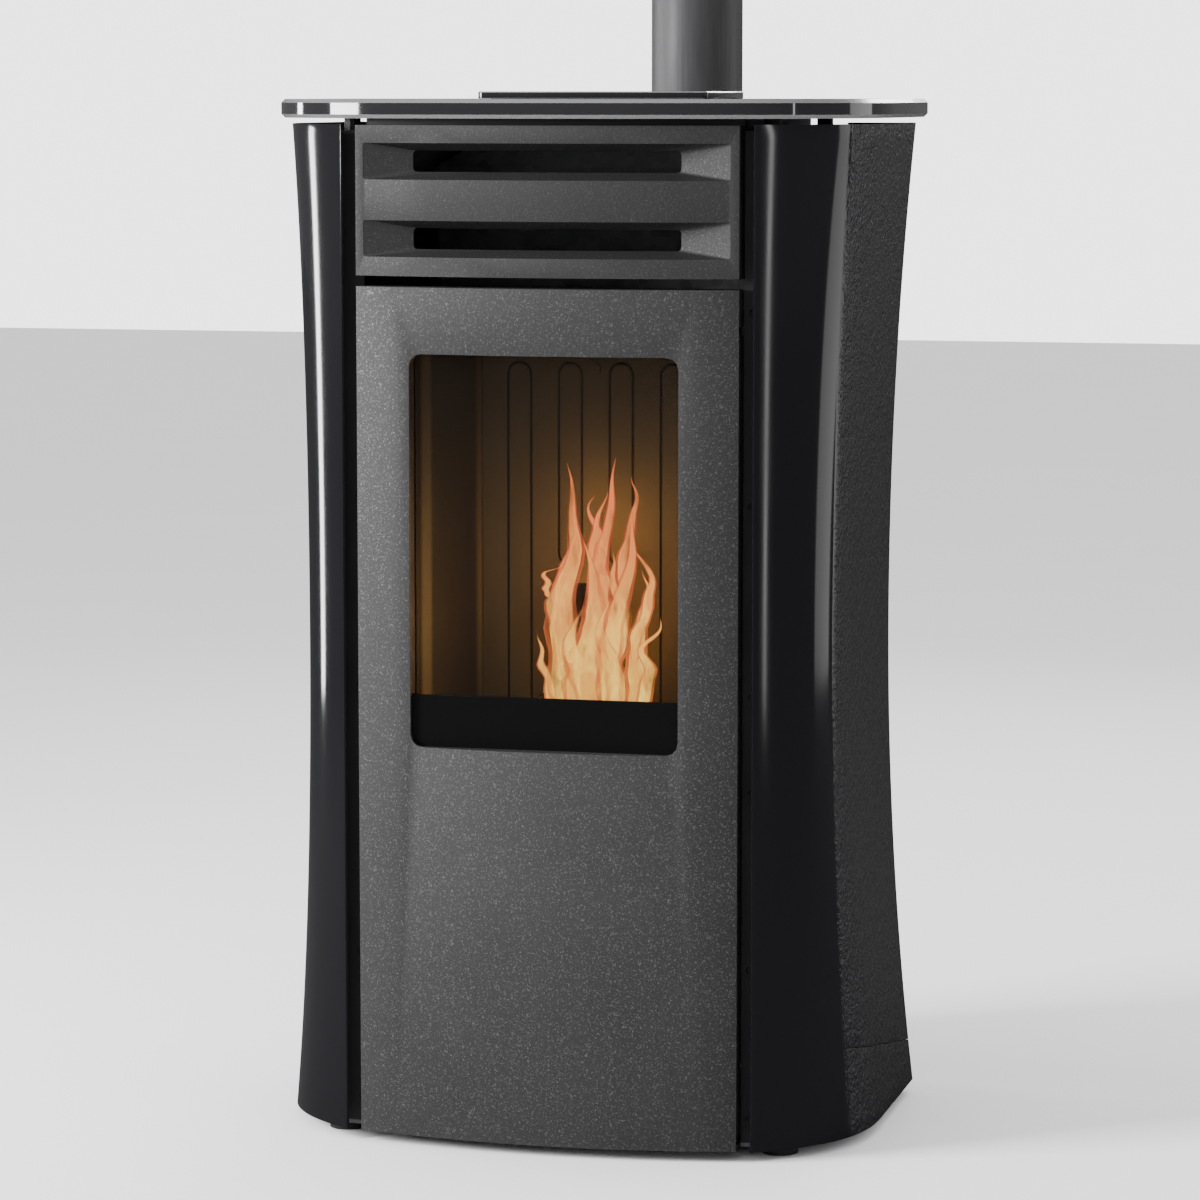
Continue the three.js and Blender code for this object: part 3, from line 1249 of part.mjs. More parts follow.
function buildRoomFan() {
  const wall = DUCT_WALL;
  const [left, right] = [ROOM_FAN_LEFT, ROOM_FAN_LEFT + ROOM_FAN_WIDTH];
  const shapeOf = (inset) =>
    outline(...scroll(80, 58, 130, inset).map(([u, v]) => [ROOM_FAN_Y + v, ROOM_FAN_Z + u]));
  const at = (geometry) => geometry.translate(0, ROOM_FAN_Y, ROOM_FAN_Z);
  const [sill, lintel] = [58 * Math.sin(20 * DEG) + 2 * wall, 80 - 2 * wall];
  const outletZ = ROOM_FAN_Z + 130;
  const housing = cut(
    prismAcross(shapeOf(0), left, right),
    prismAcross(shapeOf(wall), left + wall, right - wall),
    block(left + wall, right - wall, ROOM_FAN_Y + sill, ROOM_FAN_Y + lintel, outletZ - 10, outletZ + 10),
    at(rod(36, left - 1, left + wall + 1, "x", 20)),
    at(rod(12, right - wall - 1, right + 1, "x", 12)),
  );
  piece("room_fan_housing", housing, "zinc");

  const wheelLeft = left + wall + 6;
  const wheel = bladedWheel(48, 36, ROOM_FAN_WIDTH - 2 * wall - 14, 14, "x").translate([wheelLeft, 0, 0]);
  const bore = rod(MOTOR_SHAFT_RADIUS + SEAT, left, right, "x", 12);
  piece("room_fan_impeller", cut(wheel, bore).translate([0, ROOM_FAN_Y, ROOM_FAN_Z]), "steel");

  const motor = join(
    rod(34, right + SEAT, right + 4, "x", 16),
    rod(28, right + 3, CHASSIS_X - SEAT, "x", 16),
    rod(MOTOR_SHAFT_RADIUS, wheelLeft + 4, right + 4, "x", 12),
  );
  piece("room_fan_motor", motor.translate([0, ROOM_FAN_Y, ROOM_FAN_Z]), "motor");
}

function buildFlue() {
  const inner = FLUE_RADIUS + SEAT;
  const branch = SPIGOT_RADIUS + SEAT;
  const wall = FLUE_WALL;
  const centre = [FLUE_X, FLUE_Y, 0];
  const branchAt = (geometry) => geometry.translate(FLUE_X, 0, FLUE_OUTLET_Z);
  const tee = cut(
    join(
      rod(inner + wall, TEE_LOW, TEE_HIGH, "z", 24).translate(...centre),
      branchAt(rod(branch + wall, COVER_REAR_Y + 16, FLUE_Y, "y", 24)),
    ),
    rod(inner, TEE_LOW - 1, TEE_HIGH + 1, "z", 24).translate(...centre),
    branchAt(rod(branch, COVER_REAR_Y + 15, FLUE_Y, "y", 24)),
  );
  piece("flue_tee", tee, "flue");

  const cup = inner + wall + SEAT;
  const cap = revolve(
    [
      [0, TEE_LOW - wall - 2],
      [cup + wall, TEE_LOW - wall - 2],
      [cup + wall, TEE_LOW + 20],
      [cup, TEE_LOW + 20],
      [cup, TEE_LOW - SEAT],
      [0, TEE_LOW - SEAT],
    ],
    "z",
    24,
  );
  piece("tee_cap", cap.translate(...centre), "flue");

  const socket = FLUE_RADIUS + SEAT + wall;
  const pipe = revolve(
    [
      [FLUE_RADIUS - wall, TEE_HIGH - FLUE_INSERT],
      [FLUE_RADIUS, TEE_HIGH - FLUE_INSERT],
      [FLUE_RADIUS, FLUE_TOP - 64],
      [socket, FLUE_TOP - 58],
      [socket, FLUE_TOP],
      [socket - wall, FLUE_TOP],
      [socket - wall, FLUE_TOP - 58],
      [FLUE_RADIUS - wall, FLUE_TOP - 64],
      [FLUE_RADIUS - wall, TEE_HIGH - FLUE_INSERT],
    ],
    "z",
    24,
  );
  piece("flue_pipe", pipe.translate(...centre), "flue");
}

function buildServices() {
  const wall = DUCT_WALL;
  const coverInside = COVER_REAR_Y - 2 - SEAT;
  const intake = revolve(
    [
      [INTAKE_RADIUS - wall, INTAKE_FRONT_Y],
      [INTAKE_RADIUS, INTAKE_FRONT_Y],
      [INTAKE_RADIUS, coverInside - 3],
      [INTAKE_RADIUS + 9, coverInside - 3],
      [INTAKE_RADIUS + 9, coverInside],
      [INTAKE_RADIUS, coverInside],
      [INTAKE_RADIUS, SPIGOT_END_Y],
      [INTAKE_RADIUS - wall, SPIGOT_END_Y],
      [INTAKE_RADIUS - wall, INTAKE_FRONT_Y],
    ],
    "y",
    20,
  );
  piece("air_intake_pipe", intake.translate(INTAKE_X, 0, INTAKE_Z), "zinc");

  const wallX = CHASSIS_X - SEAT;
  const boardFront = BOARD_REAR_Y - 104;
  const boardHigh = BOARD_LOW + BOARD_HEIGHT;
  const board = join(
    block(-wallX + 8, -wallX + 10, boardFront, BOARD_REAR_Y, BOARD_LOW, boardHigh),
    block(-wallX + 9, -wallX + 34, boardFront + 18, boardFront + 54, BOARD_LOW + 20, BOARD_LOW + 56),
    block(-wallX + 9, -wallX + 22, boardFront + 14, boardFront + 88, boardHigh - 50, boardHigh - 34),
    block(-wallX + 9, -wallX + 26, boardFront + 64, boardFront + 84, BOARD_LOW + 30, BOARD_LOW + 70),
    ...[boardFront + 6, BOARD_REAR_Y - 6].flatMap((y) =>
      [BOARD_LOW + 6, boardHigh - 6].map((z) => rod(3, -wallX, -wallX + 9, "x", 8).translate(0, y, z)),
    ),
  );
  piece("control_board", board, "board");

  const coverOuter = COVER_REAR_Y + SEAT;
  const moduleFront = COVER_REAR_Y - 24;
  const socketFloor = COVER_REAR_Y - SOCKET_DEPTH;
  const beyond = coverOuter + 9.7;
  const bezel = roundedRect(SOCKET_X - 18, SOCKET_Z - 14, SOCKET_X + 18, SWITCH_Z + 12, 3, 2);
  const inletBody = (half, halfHeight, z) =>
    block(SOCKET_X - half, SOCKET_X + half, moduleFront, coverOuter + 1, z - halfHeight, z + halfHeight);
  const module = cut(
    join(
      prismBack(bezel, coverOuter, coverOuter + 2.2),
      inletBody(SOCKET_HALF, SOCKET_HALF_HEIGHT, SOCKET_Z),
      inletBody(SWITCH_HALF, SWITCH_HALF_HEIGHT, SWITCH_Z),
    ),
    block(SOCKET_X - 12, SOCKET_X + 12, socketFloor, beyond, SOCKET_Z - 8, SOCKET_Z + 8),
    block(SOCKET_X - 9, SOCKET_X + 9, socketFloor, beyond, SWITCH_Z - 6, SWITCH_Z + 6),
  );
  const pins = [[-7, -2.5], [0, 2.5], [7, -2.5]].map(([dx, dz]) => {
    const [x, z] = [SOCKET_X + dx, SOCKET_Z + dz];
    return block(x - 1, x + 1, socketFloor - 1, COVER_REAR_Y - 1, z - 2, z + 2);
  });
  piece("power_inlet", join(module, ...pins), "plastic");

  const rocker = prismAcross(
    outline([-6, -2.4], [3.2, -4.6], [2.2, 0], [3.2, 4.6], [-6, 2.4]),
    SOCKET_X - 9 + SEAT,
    SOCKET_X + 9 - SEAT,
  );
  piece("power_switch", rocker.rotateX(-ROCKER_TILT).translate(0, ROCKER_Y, SWITCH_Z), "red");

  const button = revolve(
    [
      [0, coverInside - 8],
      [9, coverInside - 8],
      [9, coverInside],
      [6, coverInside],
      [6, coverInside + 7],
      [5, coverInside + 8],
      [0, coverInside + 8],
    ],
    "y",
    16,
  );
  piece("reset_button", button.translate(SOCKET_X, 0, RESET_Z), "plastic");
}

buildSides();
buildBase();
buildFeet();
buildChassis();
buildTop();
buildLid();
buildRearCover();
buildDoor();
buildDoorRails();
buildHingeBrackets();
buildCatch();
buildGrille();
buildFirebox();
buildFireback();
buildBurnPot();
buildAshDrawer();
buildHopper();
buildAuger();
buildExhaustFan();
buildRoomFan();
buildFlue();
buildServices();

// The origin lies on the floor under the middle of the stove with its flue.
const frontmost = -DOOR_BULGE - SLAB_OVERHANG;
const rearmost = FLUE_Y + FLUE_RADIUS + 2 * FLUE_WALL + 2 * SEAT;
stove.position.y = -(frontmost + rearmost) / 2;

export default stove;
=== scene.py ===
"""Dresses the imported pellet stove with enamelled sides, soft edges, finishes and a lit fire.

Metres, in the frame's own axes: X across the stove, Y from the door towards the wall, Z up.
"""
import json
import math

import bpy
from bpy.props import FloatProperty, FloatVectorProperty, PointerProperty
from bpy.types import Operator, Panel, PropertyGroup
from mathutils import Matrix, Vector, noise

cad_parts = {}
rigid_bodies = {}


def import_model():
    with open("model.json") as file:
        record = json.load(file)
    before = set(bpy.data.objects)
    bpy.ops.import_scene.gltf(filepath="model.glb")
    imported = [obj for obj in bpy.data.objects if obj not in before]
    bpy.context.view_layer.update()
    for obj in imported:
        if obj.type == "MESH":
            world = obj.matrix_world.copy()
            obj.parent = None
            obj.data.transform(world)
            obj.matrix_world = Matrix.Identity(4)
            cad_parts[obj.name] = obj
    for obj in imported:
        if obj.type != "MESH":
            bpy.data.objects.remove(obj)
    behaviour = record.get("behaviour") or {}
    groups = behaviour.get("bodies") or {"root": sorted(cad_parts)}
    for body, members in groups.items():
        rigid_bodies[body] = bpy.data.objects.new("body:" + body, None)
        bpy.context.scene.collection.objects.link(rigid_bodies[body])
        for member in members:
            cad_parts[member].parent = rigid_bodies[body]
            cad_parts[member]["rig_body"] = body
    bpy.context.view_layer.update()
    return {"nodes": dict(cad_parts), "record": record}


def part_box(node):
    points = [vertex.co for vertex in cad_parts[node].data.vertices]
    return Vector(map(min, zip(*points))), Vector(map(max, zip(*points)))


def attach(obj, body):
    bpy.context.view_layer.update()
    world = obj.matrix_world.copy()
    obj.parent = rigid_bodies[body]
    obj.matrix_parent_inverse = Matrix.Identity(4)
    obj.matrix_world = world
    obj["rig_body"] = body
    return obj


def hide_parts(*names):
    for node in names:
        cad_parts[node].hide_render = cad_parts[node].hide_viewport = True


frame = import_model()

bl_info = {
    "name": "Pellet stove",
    "version": (1, 0, 0),
    "blender": (4, 5, 0),
    "location": "View3D > Sidebar > Stove",
    "description": "Dresses a pellet stove's frame with its finishes, its stage and a lit fire",
    "category": "Object",
}

NODES = frame["nodes"]
FRONT_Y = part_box("side_panel_right")[0].y
FLOOR_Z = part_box("base_plate")[0].z

# The casing's plan and profile, as the frame has them.
SIDE_TOP = 1.074
SIDE_DEPTH = 0.385
EDGE_X = 0.222
EDGE_ANGLE = math.radians(34)
SHOULDER_Y = 0.190
BELLY = 0.090
BASE_HALF = 0.325
WAIST_HALF = 0.2935
WAIST_Z = 0.530
TOP_HALF = 0.320
RETURN_X = 0.244
SHEET = 0.003
SKIRT_FRONT_Y = 0.098
SKIRT_FRONT_Z = 0.096
SKIRT_REAR_Z = 0.046
DOOR_HALF = 0.206
DOOR_BULGE = 0.025
SLAB_LOW = 1.080
SLAB_HIGH = 1.100
SLAB_OVERHANG = 0.012
SLAB_REAR_Y = 0.400
SLAB_CORNER = 0.010
SLAB_CHAMFER = 0.004
MOUTH = ((-0.112, 0.216), (0.112, 0.362))
MOUTH_RADIUS = 0.008
LANDING = ((-0.129, 0.191), (0.129, 0.401))
LANDING_DEPTH = 0.0005
# The dark board under the slab, put there as painted shade: its half width, its front and back, and
# its thickness.
SHADE_UNDERLAY_HALF, SHADE_UNDERLAY_FRONT, SHADE_UNDERLAY_BACK = 0.204, 0.034, 0.376
SHADE_UNDERLAY_BOARD = 0.004
SOCKET_NECK, SOCKET_STEP, SOCKET_LIP = 0.064, 0.058, 0.0012
SOCKET_FLARE = 0.0023
PIPE_WALL = 0.002

# From the top of the chassis side to just over the deck, and the gap between touching pieces.
DECK_RISE = 0.0036
TOUCH_GAP = 0.0003

# How far a cutting block reaches past what it cuts.
CUT_PAST = 0.01

# Depths behind the casing's front edge. The first is the fireback's face; behind it, the fireback's
# grooves and openings are painted near black as painted shade. The others are where the liner's
# painted shade gives way to its own colour, in a band and again at its rear.
FIREBACK_Y = 0.212
FIREBACK_FACE = (0.0003, 0.0012)
UNSHADED_START = (0.056, 0.066)
UNSHADED_END = (0.080, 0.090)
LINER_REAR = (0.192, 0.208)

BELLY_COLUMNS, STRAIGHT_COLUMNS, RETURN_COLUMNS = 40, 14, 10
COLUMNS = BELLY_COLUMNS + STRAIGHT_COLUMNS + RETURN_COLUMNS
ROWS = 60

# The camera that fits the photograph's framing.
CAMERA_PLACE = (1.177, -4.694, 1.118)
CAMERA_HEADING = math.radians(14.25)
CAMERA_PITCH = math.radians(6.6)
CAMERA_LENS = 131.4
SENSOR = 36.0


# ------------------------------------------------------------------ settings


class StoveSizes(PropertyGroup):
    """Sizes of what is added to the frame."""

    edge: FloatProperty(
        name="Edge softening",
        description="How far the casing's sharp edges are rounded",
        default=0.0009, min=0.0002, max=0.003, unit="LENGTH",
    )
    seam: FloatProperty(
        name="Skirt seam",
        description="The gap between a side panel and its skirt",
        default=0.0007, min=0.0003, max=0.002, unit="LENGTH",
    )
    screw: FloatProperty(
        name="Screw head",
        description="The radius of the casing's screw heads",
        default=0.0038, min=0.002, max=0.006, unit="LENGTH",
    )
    band: FloatProperty(
        name="Glass band",
        description="The height of the top of the glass's black band above the casing's underside",
        default=0.475, min=0.43, max=0.6, unit="LENGTH",
    )
    flame: FloatProperty(
        name="Flame height",
        description="How far the tallest flame stands above the burn pot",
        default=0.262, min=0.05, max=0.33, unit="LENGTH",
    )


def shade(name, description, value):
    """A colour that a user can change."""
    return FloatVectorProperty(
        name=name, description=description, default=value, size=3, min=0, max=1, subtype="COLOR",
    )


class StoveColours(PropertyGroup):
    """Colours of the stove's finishes."""

    enamel: shade("Enamel", "The glossy side panels", (0.006, 0.006, 0.007))
    powder: shade("Powder coat", "The door's speckled coat", (0.017, 0.017, 0.0175))
    casting: shade("Casting", "The grille over the door", (0.014, 0.014, 0.0145))
    slab: shade("Slab", "The polished top slab", (0.010, 0.010, 0.011))
    flue: shade("Flue", "The satin flue pipe", (0.045, 0.045, 0.047))
    liner: shade("Liner", "The fire chamber's heat-tinted plates", (0.110, 0.078, 0.034))


# ------------------------------------------------------------------ shader nodes


class Value:
    """A number that varies over a surface. Arithmetic on it adds Math nodes to its finish."""

    def __init__(self, finish, socket):
        self.finish = finish
        self.socket = socket

    def math(self, operation, first, second):
        return self.finish.node("ShaderNodeMath", {"operation": operation}, {0: first, 1: second})

    def __add__(self, other):
        return self.math("ADD", self, other)

    def __radd__(self, other):
        return self.math("ADD", other, self)

    def __sub__(self, other):
        return self.math("SUBTRACT", self, other)

    def __rsub__(self, other):
        return self.math("SUBTRACT", other, self)

    def __mul__(self, other):
        return self.math("MULTIPLY", self, other)


class Finish:
    """A material built round one Principled shader."""

    def __init__(self, name, **constants):
        self.material = bpy.data.materials.new(name)
        self.material.use_nodes = True
        self.tree = self.material.node_tree
        self.tree.nodes.clear()
        self.shader = self.tree.nodes.new("ShaderNodeBsdfPrincipled")
        output = self.tree.nodes.new("ShaderNodeOutputMaterial")
        self.tree.links.new(self.shader.outputs[0], output.inputs["Surface"])
        for socket, value in constants.items():
            self.shader.inputs[socket.replace("_", " ")].default_value = value

    def node(self, kind, settings, inputs, output=0):
        """One node with its settings made first, then the values or links of its sockets."""
        made = self.tree.nodes.new(kind)
        for key, value in settings.items():
            if key == "stops":
                ramp = made.color_ramp.elements
                while len(ramp) < len(value):
                    ramp.new(0.5)
                for element, (place, colour) in zip(ramp, value):
                    element.position = place
                    element.color = (*colour, 1.0)
            else:
                setattr(made, key, value)
        for key, value in inputs.items():
            if isinstance(value, Value):
                self.tree.links.new(value.socket, made.inputs[key])
            else:
                made.inputs[key].default_value = value
        return Value(self, made.outputs[output])

    def feed(self, socket, value):
        self.tree.links.new(value.socket, self.shader.inputs[socket])

    def place(self):
        return self.node("ShaderNodeTexCoord", {}, {}, "Object")

    def axis(self, name):
        return self.node("ShaderNodeSeparateXYZ", {}, {"Vector": self.place()}, name)

    def stretched(self, x, y, z):
        """The place with each axis multiplied, so that a pattern runs long the other way."""
        return self.node("ShaderNodeMapping", {}, {"Vector": self.place(), "Scale": (x, y, z)})

    def grain(self, scale, detail=2.0, vector=None):
        inputs = {"Vector": vector or self.place(), "Scale": scale, "Detail": detail}
        return self.node("ShaderNodeTexNoise", {}, inputs)

    def cells(self, scale, vector=None, output="Distance"):
        inputs = {"Vector": vector or self.place(), "Scale": scale}
        return self.node("ShaderNodeTexVoronoi", {}, inputs, output)

    def ease(self, value, low, high):
        """0 below low, 1 above high, and smooth between them."""
        inputs = {"Value": value, "From Min": low, "From Max": high}
        return self.node("ShaderNodeMapRange", {"interpolation_type": "SMOOTHSTEP"}, inputs)

    def blend(self, share, first, second):
        inputs = {0: share, 6: as_colour(first), 7: as_colour(second)}
        return self.node("ShaderNodeMix", {"data_type": "RGBA"}, inputs, 2)

    def relief(self, height, distance, strength=1.0):
        inputs = {"Strength": strength, "Distance": distance, "Height": height}
        self.feed("Normal", self.node("ShaderNodeBump", {}, inputs))


def as_colour(value):
    return value if isinstance(value, Value) else (*value, 1.0)


def lit(colour, factor):
    return tuple(min(1.0, c * factor) for c in colour)


# ------------------------------------------------------------------ finishes


def enamel_finish(colours):
    """Gloss black, smooth in front and with a hammered peel from the skirt's front edge back."""
    f = Finish("gloss_enamel", Specular_IOR_Level=0.42)
    rear = f.ease(f.axis("Y"), FRONT_Y + SKIRT_FRONT_Y - 0.010, FRONT_Y + SKIRT_FRONT_Y + 0.006)
    peel = f.grain(230, 3)
    lump = f.grain(75, 2)
    haze = f.grain(9, 2)
    f.feed("Base Color", f.blend(rear * peel, colours.enamel, lit(colours.enamel, 2.6)))
    f.feed("Roughness", 0.07 + rear * 0.20 + haze * 0.05)
    f.relief(rear * (peel * 0.7 + lump * 0.6) + f.grain(5, 1) * 0.02, 0.0040, 0.9)
    return f.material


def powder_finish(name, colour, coarse, spark):
    """A matt coat with pale metallic flecks and a fine leathery relief."""
    f = Finish(name, Specular_IOR_Level=0.35)
    fine = f.grain(coarse * 2.3, 2)
    broad = f.grain(coarse, 3)
    patch = f.grain(12, 2)
    fleck = f.ease(fine * 0.55 + broad * 0.45, 0.52, 0.67)
    base = f.blend(patch, lit(colour, 0.88), lit(colour, 1.16))
    f.feed("Base Color", f.blend(fleck, base, lit(colour, spark)))
    f.feed("Roughness", 0.62 - fleck * 0.22 + patch * 0.05)
    f.relief(broad * 0.7 + fine * 0.3, 0.0005, 0.55)
    return f.material


def sheet_finish():
    """Satin black paint on folded sheet."""
    f = Finish("satin_sheet", Metallic=0.1)
    fine = f.grain(900, 2)
    patch = f.grain(14, 3)
    f.feed("Base Color", f.blend(patch, (0.018, 0.018, 0.019), (0.030, 0.030, 0.031)))
    f.feed("Roughness", 0.40 + fine * 0.12 + patch * 0.08)
    f.relief(fine, 0.0002, 0.4)
    return f.material


def zinc_finish():
    """Plated sheet with a faint spangle."""
    f = Finish("zinc_plate", Metallic=0.9)
    spangle = f.cells(85, output="Color")
    patch = f.grain(22, 3)
    tone = f.node("ShaderNodeSeparateColor", {}, {"Color": spangle}, "Red")
    share = tone * 0.5 + patch * 0.4
    f.feed("Base Color", f.blend(share, (0.34, 0.35, 0.36), (0.58, 0.59, 0.60)))
    f.feed("Roughness", 0.30 + tone * 0.14 + patch * 0.1)
    f.relief(patch + f.grain(600, 2) * 0.2, 0.0003, 0.3)
    return f.material


def slab_finish(colours):
    """Deep gloss black, with its chamfers painted pale and metallic as a painted highlight along
    the slab's edges.

    A chamfer is told by its slope in the world. The hopper's lid has this finish too, and the
    slope is right for it when shut and at its limit, but a lid half open looks bright all over.
    """
    f = Finish("polished_slab_edge_highlight", Coat_Weight=0.5, Coat_Roughness=0.02)
    normal = f.node("ShaderNodeNewGeometry", {}, {}, "True Normal")
    up = f.node("ShaderNodeSeparateXYZ", {}, {"Vector": normal}, "Z")
    steep = f.node("ShaderNodeMath", {"operation": "ABSOLUTE"}, {0: up})
    # This mask carries a painted highlight: the slab's chamfers are coloured pale and metallic.
    chamfer_highlight = f.ease(steep, 0.30, 0.45) * (1 - f.ease(steep, 0.85, 0.95))
    cloud = f.grain(6, 3)
    dark = f.blend(cloud, lit(colours.slab, 0.8), lit(colours.slab, 1.5))
    # The pale colour on the chamfers is a painted highlight.
    f.feed("Base Color", f.blend(chamfer_highlight, dark, (0.72, 0.73, 0.74)))
    f.feed("Metallic", chamfer_highlight * 0.85)
    f.feed("Roughness", 0.05 + chamfer_highlight * 0.16 + f.grain(40, 3) * 0.04)
    return f.material


def flue_finish(colours):
    """Satin stove enamel, with the faint long marks of a drawn tube."""
    f = Finish("satin_flue", Metallic=0.35)
    drawn = f.grain(60, 3, f.stretched(6, 6, 0.25))
    fine = f.grain(1100, 2)
    f.feed("Base Color", f.blend(drawn, lit(colours.flue, 0.8), lit(colours.flue, 1.7)))
    f.feed("Roughness", 0.40 + drawn * 0.08 + fine * 0.08)
    f.relief(drawn * 0.6 + fine * 0.3, 0.0002, 0.4)
    return f.material


def liner_finish(name, colours):
    """Cast plates tinted by heat and darker towards the top, painted near black as painted shade at
    the chamber's shaded depths.
    """
    f = Finish(name, Specular_IOR_Level=0.2)
    cast = f.grain(320, 3)
    stain = f.grain(16, 4, f.stretched(2.2, 2.2, 0.5))
    # Darker and rougher towards the top.
    height_ramp = f.ease(f.axis("Z") + stain * 0.16, 0.60, 0.92)
    plate_tone = f.blend(stain, lit(colours.liner, 0.55), lit(colours.liner, 1.35))
    # The dark mask is painted shade: behind the fireback's face, and on the liner outside its band
    # and its rear.
    deep = f.axis("Y") - FRONT_Y
    if name == "fireback_painted_shade":
        dark = f.ease(deep, *(FIREBACK_Y + depth for depth in FIREBACK_FACE))
    else:
        unshaded_band = f.ease(deep, *UNSHADED_START) * (1 - f.ease(deep, *UNSHADED_END))
        dark = 1 - unshaded_band - f.ease(deep, *LINER_REAR)
    plate = f.blend(height_ramp * 0.85, plate_tone, (0.018, 0.013, 0.009))
    # Near-black painted shade is laid over the plate where the dark mask is set.
    f.feed("Base Color", f.blend(dark * 0.88, plate, (0.004, 0.003, 0.002)))
    f.feed("Roughness", 0.52 + height_ramp * 0.3 + cast * 0.1)
    f.relief(cast, 0.0007, 0.6)
    return f.material


def iron_finish():
    """Matt heat paint on iron, with grey ash in its hollows."""
    f = Finish("heat_paint", Metallic=0.2)
    cast = f.grain(380, 3)
    ash = f.ease(f.grain(28, 4), 0.56, 0.72)
    f.feed("Base Color", f.blend(ash, (0.020, 0.018, 0.017), (0.075, 0.068, 0.060)))
    f.feed("Roughness", 0.62 + ash * 0.25 + cast * 0.06)
    f.relief(cast, 0.0005, 0.5)
    return f.material


def glass_finish(sizes):
    """Ceramic glass that is clear above and printed black in a bare band below."""
    f = Finish("ceramic_glass", Specular_IOR_Level=0.3)
    edge = FLOOR_Z + sizes.band
    clear = f.ease(f.axis("Z"), edge - 0.0004, edge + 0.0004)
    film = f.grain(11, 3)
    f.feed("Base Color", f.blend(clear, (0.003, 0.003, 0.003), (0.020, 0.017, 0.014)))
    f.feed("Alpha", 1 - clear * (0.93 - film * 0.05))
    f.feed("Roughness", 0.07 + film * 0.04)
    return f.material


def rope_finish():
    """Knitted glass-fibre rope."""
    f = Finish("knitted_rope", Roughness=0.95)
    knit = f.cells(420, f.stretched(1, 1, 0.6))
    f.feed("Base Color", f.blend(knit, (0.035, 0.034, 0.032), (0.15, 0.145, 0.135)))
    f.relief(knit, 0.0012, 0.9)
    return f.material


def metal_finish(name, dark, bright, rough):
    """Machined or rolled metal with fine turning marks."""
    f = Finish(name, Metallic=0.95)
    mark = f.grain(700, 2, f.stretched(0.3, 1, 1))
    patch = f.grain(18, 3)
    f.feed("Base Color", f.blend(patch * 0.6 + mark * 0.4, dark, bright))
    f.feed("Roughness", rough + mark * 0.14)
    f.relief(mark, 0.0001, 0.3)
    return f.material


def moulded_finish(name, colour, rough):
    """Moulded plastic with a fine spark-eroded texture."""
    f = Finish(name)
    fine = f.grain(1300, 2)
    patch = f.grain(30, 2)
    f.feed("Base Color", f.blend(patch, lit(colour, 0.85), lit(colour, 1.25)))
    f.feed("Roughness", rough + fine * 0.15)
    f.relief(fine, 0.0001, 0.4)
    return f.material


def flame_finish(name, low, middle, high, strength, cover):
    """Glowing gas that changes colour and thins out with height."""
    f = Finish(name, Emission_Strength=strength, Roughness=1.0)
    f.shader.inputs["Base Color"].default_value = (0, 0, 0, 1)
    f.shader.inputs["Specular IOR Level"].default_value = 0.0
    foot = FLOOR_Z + FLAME_FOOT
    rise = f.ease(f.axis("Z") + f.grain(26, 2) * 0.08, foot, foot + FLAME_FADE)
    stops = [(0, low), (0.5, middle), (1, high)]
    ramp = f.node("ShaderNodeValToRGB", {"stops": stops}, {"Fac": rise})
    f.feed("Emission Color", ramp)
    streak = f.ease(f.grain(38, 3, f.stretched(1.6, 1.6, 0.45)), 0.34, 0.60)
    f.feed("Alpha", (1 - rise * 0.40) * (0.12 + streak * 0.88) * cover)
    return f.material


def ember_finish():
    """Charred pellets with heat glowing between them."""
    f = Finish("glowing_embers", Emission_Strength=5.0, Roughness=0.95)
    crack = 1 - f.ease(f.cells(150), 0.10, 0.48)
    f.feed("Base Color", f.blend(f.grain(200, 3), (0.010, 0.009, 0.008), (0.055, 0.050, 0.045)))
    f.feed("Emission Color", f.blend(crack * f.grain(30, 2), (0, 0, 0), (1.0, 0.26, 0.03)))
    f.relief(f.cells(150), 0.003, 0.8)
    return f.material


def all_finishes(sizes, colours):
    """The material for each of the record's slots."""
    return {
        "enamel": enamel_finish(colours),
        "powder": powder_finish("speckled_powder", colours.powder, 400, 4.0),
        "casting": powder_finish("speckled_casting", colours.casting, 480, 2.8),
        "sheet": sheet_finish(),
        "zinc": zinc_finish(),
        "slab": slab_finish(colours),
        "flue": flue_finish(colours),
        "liner": liner_finish("heat_tinted_liner_painted_shade", colours),
        "fireback": liner_finish("fireback_painted_shade", colours),
        "iron": iron_finish(),
        "glass": glass_finish(sizes),
        "rope": rope_finish(),
        "motor": metal_finish("motor_case", (0.16, 0.165, 0.17), (0.34, 0.345, 0.35), 0.34),
        "steel": metal_finish("bright_steel", (0.40, 0.40, 0.41), (0.62, 0.62, 0.63), 0.22),
        "plastic": moulded_finish("black_plastic", (0.016, 0.016, 0.017), 0.42),
        "board": moulded_finish("board_lacquer", (0.020, 0.120, 0.050), 0.30),
        "red": moulded_finish("red_plastic", (0.42, 0.018, 0.012), 0.18),
    }


MADE = {}


def finish(slot):
    return MADE[slot]


# ------------------------------------------------------------------ modelling helpers


def alone(piece):
    """Selects one piece and nothing else."""
    bpy.ops.object.select_all(action="DESELECT")
    piece.select_set(True)
    bpy.context.view_layer.objects.active = piece


def new_piece(name):
    """The primitive that was just added, with its own place applied."""
    piece = bpy.context.active_object
    piece.name = name
    alone(piece)
    bpy.ops.object.transform_apply(location=True, rotation=True, scale=True)
    return piece


def modify(piece, kind, **settings):
    """A modifier that is applied at once."""
    alone(piece)
    modifier = piece.modifiers.new(kind.lower(), kind)
    for key, value in settings.items():
        setattr(modifier, key, value)
    bpy.ops.object.modifier_apply(modifier=modifier.name)
    return piece


def smooth(piece, angle):
    """Smooth shading over everything flatter than the angle."""
    alone(piece)
    bpy.ops.object.shade_smooth_by_angle(angle=math.radians(angle))


